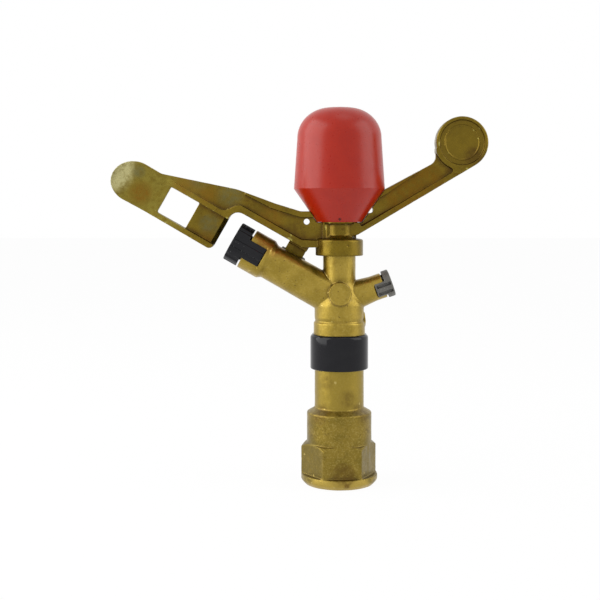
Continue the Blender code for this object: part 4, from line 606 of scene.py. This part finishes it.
class Nodes:
    """Builds one node material; coordinates are the object's own, in millimetres."""

    def __init__(self, name):
        self.material = bpy.data.materials.new(name)
        self.material.use_nodes = True
        self.tree = self.material.node_tree
        self.shader = self.tree.nodes["Principled BSDF"]
        place_in = self.tree.nodes.new("ShaderNodeTexCoord")
        scale = self.tree.nodes.new("ShaderNodeVectorMath")
        scale.operation = "SCALE"
        scale.inputs["Scale"].default_value = 1.0 / MM
        self.link(place_in.outputs["Object"], scale.inputs[0])
        self.point = scale.outputs[0]

    def link(self, source, target):
        self.tree.links.new(source, target)

    def feed(self, value, socket):
        """Links a socket's value into a socket, or sets a constant there."""
        if isinstance(value, bpy.types.NodeSocket):
            self.link(value, socket)
        else:
            socket.default_value = value

    def noise(self, size, detail=3.0, rough=0.55, offset=0.0, stretch=None):
        """Noise from 0 to 1 with features of about that many millimetres."""
        point = self.point
        if stretch or offset:
            mapping = self.tree.nodes.new("ShaderNodeMapping")
            mapping.inputs["Location"].default_value = (offset, offset, offset)
            mapping.inputs["Scale"].default_value = stretch or (1.0, 1.0, 1.0)
            self.link(point, mapping.inputs["Vector"])
            point = mapping.outputs["Vector"]
        node = self.tree.nodes.new("ShaderNodeTexNoise")
        self.link(point, node.inputs["Vector"])
        node.inputs["Scale"].default_value = 1.0 / size
        node.inputs["Detail"].default_value = detail
        node.inputs["Roughness"].default_value = rough
        return node.outputs["Fac"]

    def ramp(self, value, low, high, to_low=0.0, to_high=1.0):
        """A value rescaled from low..high to to_low..to_high, held at the ends."""
        node = self.tree.nodes.new("ShaderNodeMapRange")
        node.interpolation_type = "SMOOTHSTEP"
        self.link(value, node.inputs["Value"])
        node.inputs["From Min"].default_value = low
        node.inputs["From Max"].default_value = high
        node.inputs["To Min"].default_value = to_low
        node.inputs["To Max"].default_value = to_high
        return node.outputs["Result"]

    def maths(self, operation, first, second=0.5):
        node = self.tree.nodes.new("ShaderNodeMath")
        node.operation = operation
        self.feed(first, node.inputs[0])
        self.feed(second, node.inputs[1])
        return node.outputs[0]

    def near(self, centre, radius, edge=0.5):
        """1 inside a ball round a point given in millimetres, 0 outside it."""
        node = self.tree.nodes.new("ShaderNodeVectorMath")
        node.operation = "DISTANCE"
        self.link(self.point, node.inputs[0])
        node.inputs[1].default_value = centre
        return self.ramp(node.outputs["Value"], radius * edge, radius, 1.0, 0.0)

    def slab(self, centre, facing, half):
        """1 within half of the plane through a point, 0 away from it."""
        node = self.tree.nodes.new("ShaderNodeVectorMath")
        node.operation = "DOT_PRODUCT"
        self.link(self.point, node.inputs[0])
        node.inputs[1].default_value = facing
        level = sum(part * way for part, way in zip(centre, facing))
        away = self.maths("ABSOLUTE", self.maths("SUBTRACT", node.outputs["Value"], level))
        return self.ramp(away, half, half + SLAB_FADE, 1.0, 0.0)

    def crevice(self, reach, open_at, shut_at):
        """1 in the piece's own inner corners and hollows, 0 on what stands free: the mask for painted shade."""
        node = self.tree.nodes.new("ShaderNodeAmbientOcclusion")
        node.only_local = True
        node.samples = 8
        node.inputs["Distance"].default_value = reach * MM
        return self.ramp(node.outputs["AO"], shut_at, open_at, 1.0, 0.0)

    def edges(self, low, high):
        """1 on the piece's outer edges, 0 on flat and hollow places: the mask for painted highlights."""
        node = self.tree.nodes.new("ShaderNodeNewGeometry")
        return self.ramp(node.outputs["Pointiness"], low, high)

    def mix(self, amount, first, second):
        """The first colour where amount is 0, and the second where it is 1."""
        node = self.tree.nodes.new("ShaderNodeMix")
        node.data_type = "RGBA"
        self.feed(amount, node.inputs["Factor"])
        for value, socket in ((first, FIRST_COLOUR), (second, SECOND_COLOUR)):
            if isinstance(value, tuple):
                value = (*value, 1.0)
            self.feed(value, node.inputs[socket])
        return node.outputs[MIXED_COLOUR]

    def bump(self, heights):
        """Adds up (height, depth in millimetres) pairs into the shader's normal."""
        previous = None
        for height, depth in heights:
            node = self.tree.nodes.new("ShaderNodeBump")
            node.inputs["Strength"].default_value = 1.0
            node.inputs["Distance"].default_value = depth * MM
            self.link(height, node.inputs["Height"])
            if previous:
                self.link(previous, node.inputs["Normal"])
            previous = node.outputs["Normal"]
        self.link(previous, self.shader.inputs["Normal"])

    def finish(self, colour, roughness, metallic=0.0):
        self.feed(colour if isinstance(colour, bpy.types.NodeSocket) else (*colour, 1.0),
                  self.shader.inputs["Base Color"])
        self.feed(roughness, self.shader.inputs["Roughness"])
        self.shader.inputs["Metallic"].default_value = metallic
        return self.material


BRASS_METALLIC = 0.85            # a little less than metal, for the dull skin on the casting
# Near-black for real casting pits, and for painted shade in tight inner corners.
PIT_AND_CORNER_SHADE = (0.05, 0.028, 0.005)
ORANGE = (0.19, 0.095, 0.004)
BROWN = (0.085, 0.045, 0.004)
GREY_GREEN = (0.13, 0.12, 0.045)
# Painted highlight: pale colour for the crescent on the spoon's tip.
TIP_HIGHLIGHT = (0.48, 0.44, 0.20)
# Painted shade: near-black for the arm's end face by the nozzle.
SHADE_BLACK = (0.03, 0.024, 0.012)


def cast_metal(name, colours, roughness, stain, grain, sand, film, marks=(), slabs=()):
    """Cast brass under a thin dull film: blotches, speckle, painted shade in inner corners and hollows,
    and painted highlights on outer edges.

    colours are plain, tarnish, bright (for speckle and the painted edge highlights) and a brown that serves
    for stains and for the painted shade in hollows; the share for stains and that painted shade, sand and
    film are shares from 0 to 1, and grain scales the bumps. marks are (centre, radius, edge, amount, colour)
    balls, and slabs are (centre, facing, half thickness, radius, amount, colour) flat discs; several marks
    and slabs paint light and shade."""
    plain_colour, tarnish, bright, stain_and_shade_colour = colours
    m = Nodes(name)
    body = m.mix(m.ramp(m.noise(8.0, 4.0), 0.38, 0.64), plain_colour, tarnish)
    speck = m.ramp(m.noise(0.8, 3.0, 0.6, 17.0), 0.45, 0.75, 0.0, sand)
    body = m.mix(speck, body, bright)
    # Painted shade: the brown colour laid into inner corners and hollows, found by ambient occlusion and broken
    # up by noise.
    hollow = m.maths("MULTIPLY", m.crevice(4.0, 0.95, 0.50),
                     m.ramp(m.noise(3.0, 3.0, 0.6, 23.0), 0.25, 0.6, 0.35, 1.0))
    body = m.mix(m.maths("MULTIPLY", hollow, stain), body, stain_and_shade_colour)
    spots = m.ramp(m.noise(5.0, 5.0, 0.7, 41.0), 0.57, 0.72, 0.0, stain * 0.8)
    body = m.mix(spots, body, stain_and_shade_colour)
    # Painted shade: a near-black band in tight inner corners; the same colour marks real pits below.
    body = m.mix(m.crevice(1.3, 0.97, 0.66), body, PIT_AND_CORNER_SHADE)
    pits = m.ramp(m.noise(0.9, 2.0, 0.5, 67.0), 0.67, 0.75, 0.0, 0.8)
    body = m.mix(pits, body, PIT_AND_CORNER_SHADE)
    for centre, facing, half, radius, amount, colour in slabs:
        inside = m.maths("MULTIPLY", m.near(centre, radius, 0.9), m.slab(centre, facing, half))
        body = m.mix(m.maths("MULTIPLY", inside, amount), body, colour)
    for centre, radius, edge, amount, colour in marks:
        ragged = m.ramp(m.noise(2.5, 4.0, 0.6, 11.0), 0.3, 0.65, 0.3, 1.0)
        inside = m.maths("MULTIPLY", m.near(centre, radius, edge), ragged)
        body = m.mix(m.maths("MULTIPLY", inside, amount), body, colour)
    # Painted highlight: outer edges lightened towards the bright colour.
    body = m.mix(m.edges(0.53, 0.60), body, bright)
    rough = m.ramp(m.noise(3.0, 4.0, 0.6, 5.0), 0.3, 0.7, roughness - 0.06, roughness + 0.08)
    m.bump([(m.noise(0.5, 3.0, 0.6), 0.04 * grain), (m.noise(2.4, 3.0, 0.5, 9.0), 0.08 * grain)])
    m.shader.inputs["Coat Weight"].default_value = film
    m.shader.inputs["Coat Roughness"].default_value = FILM_ROUGHNESS
    m.shader.inputs["Coat IOR"].default_value = FILM_IOR
    return m.finish(body, rough, BRASS_METALLIC)


def plastic(name, colour, second, roughness, grain, edge=None, corner_shade=0.25, open_at=0.75, sheen=0.35):
    """Moulded plastic with faint blotches, and painted highlights on its outer edges where edge is given.

    Inner corners get painted shade, down to the given share of the colour, and stay plain where that share is
    0."""
    m = Nodes(name)
    shade = m.mix(m.ramp(m.noise(6.0, 4.0), 0.35, 0.7), colour, second)
    # Painted shade in inner corners.
    if corner_shade:
        shade = m.mix(m.crevice(1.5, open_at, open_at - 0.45), shade, tuple(value * corner_shade for value in colour))
    # Painted highlight on outer edges.
    if edge:
        shade = m.mix(m.edges(0.53, 0.62), shade, edge)
    rough = m.ramp(m.noise(1.6, 4.0, 0.6, 3.0), 0.3, 0.7, roughness * 0.9, roughness * 1.12)
    m.bump([(m.noise(0.8, 2.0, 0.5), grain)])
    m.shader.inputs["Specular IOR Level"].default_value = sheen
    return m.finish(shade, rough)


def turned_metal(name, colour, second, roughness):
    """Bright metal with fine marks round its axis."""
    m = Nodes(name)
    shade = m.mix(m.ramp(m.noise(2.0, 4.0), 0.35, 0.7), colour, second)
    rough = m.ramp(m.noise(0.4, 3.0, 0.6, 7.0), 0.3, 0.7, roughness * 0.8, roughness * 1.25)
    m.bump([(m.noise(0.16, 2.0, 0.5, 0.0, (0.2, 0.2, 1.0)), 0.01)])
    return m.finish(shade, rough, 1.0)


def mark_at(s, t, y, radius, edge, amount, colour):
    """A coloured ball placed by its jet-frame point."""
    return (at_jet(s, t, y), radius, edge, amount, colour)


DISC = weight_point(*DISC_CENTRE)
UPWARDS = (0.0, 0.0, 1.0)
ALONG_JET = (-math.cos(MAIN_RISE), 0.0, math.sin(MAIN_RISE))

CASTINGS = {
    "cast_brass": dict(
        colours=((0.34, 0.235, 0.030), (0.27, 0.185, 0.018), (0.50, 0.38, 0.10), (0.17, 0.10, 0.006)),
        roughness=0.34, stain=0.5, grain=0.7, sand=0.3, film=0.15,
        marks=[
            mark_at(45.0, 9.0, -2.0, 13.0, 0.4, 1.2, (0.22, 0.10, 0.008)),
            # Painted shadow: orange at the foot of the arm's lug, on the main barrel's top.
            mark_at(30.0, 9.0, 0.0, 9.0, 0.3, 0.5, ORANGE),
            ((15.0, -1.0, 104.5), 8.0, 0.3, 0.5, ORANGE),
        ]),
    "arm_brass": dict(
        colours=((0.175, 0.115, 0.006), (0.135, 0.088, 0.004), (0.32, 0.27, 0.06), (0.085, 0.038, 0.001)),
        roughness=0.30, stain=0.95, grain=0.35, sand=0.12, film=0.05,
        marks=[
            mark_at(116.0, 1.0, 0.0, 36.0, 0.6, 0.8, (0.25, 0.20, 0.03)),
            mark_at(114.0, -2.0, 2.0, 8.0, 0.3, 1.0, ORANGE),
            # Painted highlight: a pale crescent on the spoon's tip.
            mark_at(131.0, 2.0, -8.0, 15.0, 0.4, 1.5, TIP_HIGHLIGHT),
            mark_at(119.0, 7.0, -2.0, 4.5, 0.4, 0.7, GREY_GREEN),
            mark_at(96.0, 12.5, 0.0, 9.0, 0.3, 0.8, ORANGE),
            mark_at(84.0, 14.0, 0.0, 8.0, 0.3, 0.7, ORANGE),
            mark_at(74.0, 20.0, 0.0, 9.0, 0.3, 0.7, GREY_GREEN),
            mark_at(92.0, 20.0, 0.0, 9.0, 0.3, 0.5, GREY_GREEN),
            mark_at(76.0, 1.0, 2.0, 7.0, 0.3, 0.7, GREY_GREEN),
            mark_at(74.0, -5.0, 2.0, 5.0, 0.3, 0.6, ORANGE),
            mark_at(50.0, 19.5, -1.0, 9.0, 0.3, 0.7, ORANGE),
            mark_at(36.0, 20.0, -1.0, 8.0, 0.3, 0.6, BROWN),
            # Painted shade: dark brown on the weight bar beside the cap.
            ((36.0, -2.0, 149.0), 20.0, 0.6, 0.8, (0.16, 0.075, 0.0)),
            ((DISC[0], -3.4, DISC[1]), 11.3, 0.97, 0.75, (0.15, 0.098, 0.006)),
            ((DISC[0] + 6.0, -3.4, DISC[1] - 7.0), 6.5, 0.4, 0.9, BROWN),
        ],
        # Painted shade: near-black on the arm's end face where the channel starts, facing the nozzle.
        slabs=[(at_jet(68.3, t, 3.0), ALONG_JET, 0.35, 10.5, 0.92, SHADE_BLACK) for t in (0.0, -1.5)]),
    "socket_brass": dict(
        colours=((0.225, 0.155, 0.018), (0.17, 0.118, 0.010), (0.42, 0.32, 0.09), (0.09, 0.05, 0.004)),
        roughness=0.38, stain=0.85, grain=1.4, sand=0.50, film=0.1,
        marks=[
            # Painted shade: the hexagon's left and right flats darkened.
            ((-18.0, -6.0, 13.0), 14.0, 0.8, 0.9, (0.16, 0.115, 0.015)),
            ((18.0, -6.0, 13.0), 14.0, 0.8, 0.9, (0.16, 0.115, 0.015)),
            ((2.0, -17.0, 8.0), 6.0, 0.85, 0.55, (0.14, 0.08, 0.006)),
            ((-9.0, -10.0, 36.0), 7.0, 0.4, 0.7, BROWN),
            ((10.0, -9.0, 36.5), 7.0, 0.4, 0.6, BROWN),
            ((1.0, -17.0, 7.0), 8.0, 0.5, 0.4, BROWN),
            ((3.0, -19.0, 2.5), 2.2, 0.2, 1.0, (0.12, 0.06, 0.004)),
            ((4.0, -12.0, 44.0), 6.0, 0.3, 0.5, BROWN),
            ((-6.0, -10.0, 52.0), 5.0, 0.3, 0.35, BROWN),
        ],
        slabs=[
            # Painted highlight: a light band round the flange's lip.
            ((0.0, 0.0, 1.3), UPWARDS, 3.3, 40.0, 0.8, (0.45, 0.32, 0.06)),
            # Painted light: the riser's neck lightened as a band.
            ((0.0, 0.0, 50.3), UPWARDS, 11.7, 40.0, 0.7, (0.31, 0.22, 0.03)),
        ]),
}
TURNED = {
    "turned_brass": dict(colour=(0.62, 0.46, 0.16), second=(0.52, 0.38, 0.12), roughness=0.25),
    "stainless": dict(colour=(0.60, 0.60, 0.61), second=(0.50, 0.50, 0.52), roughness=0.22),
    "spring_steel": dict(colour=(0.42, 0.42, 0.44), second=(0.32, 0.32, 0.34), roughness=0.30),
}
PLASTICS = {
    # The edge colours are painted highlights on outer edges, and the corner shares are painted shade in inner
    # corners.
    "black_plastic": dict(colour=(0.006, 0.006, 0.008), second=(0.008, 0.008, 0.010), roughness=0.07,
                          grain=0.001, edge=(0.05, 0.05, 0.05), sheen=0.22),
    "grey_plastic": dict(colour=(0.13, 0.125, 0.11), second=(0.10, 0.095, 0.085), roughness=0.42,
                         grain=0.02, edge=(0.26, 0.25, 0.23), corner_shade=0.12, open_at=0.95),
    "red_plastic": dict(colour=(0.35, 0.012, 0.001), second=(0.33, 0.010, 0.001), roughness=0.30,
                        grain=0.001, corner_shade=0.0),
    "white_plastic": dict(colour=(0.74, 0.73, 0.69), second=(0.66, 0.65, 0.61), roughness=0.40, grain=0.01),
    "rubber": dict(colour=(0.018, 0.018, 0.018), second=(0.026, 0.025, 0.024), roughness=0.75, grain=0.02),
}
MATERIALS = {slot: make(slot, **look)
             for make, looks in ((cast_metal, CASTINGS), (turned_metal, TURNED), (plastic, PLASTICS))
             for slot, look in looks.items()}


def dress(item, slot):
    item.data.materials.clear()
    item.data.materials.append(MATERIALS[slot])


def shade_smooth(item, angle):
    """Smooth faces, with the edges sharper than an angle kept sharp."""
    item.data.shade_smooth()
    bm = bmesh.new()
    bm.from_mesh(item.data)
    for edge in bm.edges:
        if len(edge.link_faces) == 2 and edge.calc_face_angle() > math.radians(angle):
            edge.smooth = False
    bm.to_mesh(item.data)
    bm.free()


PIECES = (
    # builder, name, CAD node it replaces, body, slot, angle in degrees from which edges stay sharp (0: none)
    (make_base, "base_socket_cast", "base_socket", "base", "socket_brass", 0),
    (make_guard, "sand_guard_moulded", "sand_guard", "head", "black_plastic", 40),
    (make_body, "body_cast", "body_casting", "head", "cast_brass", 0),
    (make_main_nozzle, "main_nozzle_moulded", "main_nozzle", "head", "black_plastic", 0),
    (make_side_nozzle, "secondary_nozzle_moulded", "secondary_nozzle", "head", "grey_plastic", 0),
    (make_cap, "spring_cap_moulded", "spring_cap", "head", "red_plastic", 25),
    (make_arm, "impact_arm_cast", "impact_arm", "arm", "arm_brass", 0),
    (make_buffer, "arm_buffer_moulded", "arm_buffer", "arm", "grey_plastic", 0),
)

for part in frame["record"]["subparts"]:
    dress(frame["nodes"][part["node"]], part["material_slot"])

for build, name, node, body, slot, sharp in PIECES:
    piece = build()
    piece.name = name
    piece.data.name = name
    if sharp:
        shade_smooth(piece, sharp)
    dress(piece, slot)
    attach(piece, body)
    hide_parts(node)
    print("piece", name, len(piece.data.polygons), flush=True)

# The pieces that aren't replaced are the CAD's own. Of these, the springs get a rounder wire.
for name in ("arm_spring", "friction_spring"):
    rounder = frame["nodes"][name].modifiers.new("rounder", "SUBSURF")
    rounder.levels = 2
    rounder.render_levels = 2


# ---------------------------------------------------------------- camera, floor and light
SENSOR = 36.0
LENS = 65.7
CAMERA_AT = (-19.75, -550.0, 140.4)
CAMERA_DIP = 1.1                 # degrees below level
FRAME_SHIFT = -0.125             # moves the picture on the sensor, as a share of its width
CLIP_END = 50.0                  # metres, past the floor's far edge
FLOOR_WHITE = 0.96               # share of the floor that is the plain white backdrop; the rest takes shadow
FLOOR_HALF = 4000.0              # half its width
WORLD_LEVEL = 0.55               # how strongly the world lights the object
AIM = (0.0, 0.0, 100.0)          # the point that the lamps face
SOFTBOXES = (
    # name, place, width, height, radiance
    ("left_softbox", (-700.0, -130.0, 420.0), 900.0, 900.0, 2.6),
    ("right_softbox", (700.0, -150.0, 450.0), 580.0, 800.0, 1.8),
    ("top_softbox", (120.0, -120.0, 1100.0), 400.0, 400.0, 1.0),
)


def make_camera():
    data = bpy.data.cameras.new("camera")
    data.lens = LENS
    data.sensor_width = SENSOR
    data.clip_end = CLIP_END
    data.shift_y = FRAME_SHIFT
    camera = make_object("camera", data)
    camera.location = Vector(CAMERA_AT) * MM
    camera.rotation_euler = (math.radians(90.0 - CAMERA_DIP), 0.0, 0.0)
    bpy.context.scene.camera = camera


def white_to(nodes, link):
    """1 for rays that should see the plain white backdrop: the camera's, and those off metal and glass."""
    rays = nodes.new("ShaderNodeLightPath")
    seen = None
    for kind in ("Is Camera Ray", "Is Glossy Ray", "Is Transmission Ray"):
        if seen is None:
            seen = rays.outputs[kind]
            continue
        either = nodes.new("ShaderNodeMath")
        either.operation = "MAXIMUM"
        link(seen, either.inputs[0])
        link(rays.outputs[kind], either.inputs[1])
        seen = either.outputs[0]
    return seen


def make_floor():
    """A pale floor that takes shadow, and that is nearly plain white to the rays white_to picks."""
    bm = bmesh.new()
    bmesh.ops.create_grid(bm, x_segments=8, y_segments=8, size=FLOOR_HALF)
    floor = solid_from("floor", bm)
    m = Nodes("floor")
    shade = m.mix(m.noise(60.0, 3.0), (0.93, 0.93, 0.93), (0.95, 0.95, 0.95))
    m.finish(shade, 0.9)
    light = m.tree.nodes.new("ShaderNodeEmission")
    light.inputs["Color"].default_value = (1.0, 1.0, 1.0, 1.0)
    light.inputs["Strength"].default_value = 1.0
    blend = m.tree.nodes.new("ShaderNodeMixShader")
    m.link(m.maths("MULTIPLY", white_to(m.tree.nodes, m.link), FLOOR_WHITE), blend.inputs["Fac"])
    m.link(m.shader.outputs[0], blend.inputs[1])
    m.link(light.outputs[0], blend.inputs[2])
    m.link(blend.outputs[0], m.tree.nodes["Material Output"].inputs["Surface"])
    floor.data.materials.append(m.material)


def make_world():
    """A world of one level from all sides, and white to the rays white_to picks."""
    world = bpy.data.worlds.new("studio")
    world.use_nodes = True
    tree = world.node_tree
    link = tree.links.new
    level = tree.nodes.new("ShaderNodeMix")
    level.data_type = "FLOAT"
    link(white_to(tree.nodes, link), level.inputs["Factor"])
    level.inputs[FIRST_VALUE].default_value = WORLD_LEVEL
    level.inputs[SECOND_VALUE].default_value = 1.0
    link(level.outputs[MIXED_VALUE], tree.nodes["Background"].inputs["Strength"])
    tree.nodes["Background"].inputs["Color"].default_value = (1.0, 1.0, 1.0, 1.0)
    bpy.context.scene.world = world


def softbox(name, place_at, width, height, radiance):
    """An area lamp of that radiance that faces the middle of the object."""
    data = bpy.data.lights.new(name, "AREA")
    data.shape = "RECTANGLE"
    data.size = width * MM
    data.size_y = height * MM
    data.energy = radiance * math.pi * width * height * MM * MM
    lamp = make_object(name, data)
    lamp.location = Vector(place_at) * MM
    lamp.rotation_euler = (Vector(AIM) * MM - lamp.location).to_track_quat("-Z", "Y").to_euler()


make_camera()
make_floor()
make_world()
for box in SOFTBOXES:
    softbox(*box)
bpy.context.scene.view_settings.view_transform = "Standard"
bpy.context.view_layer.update()
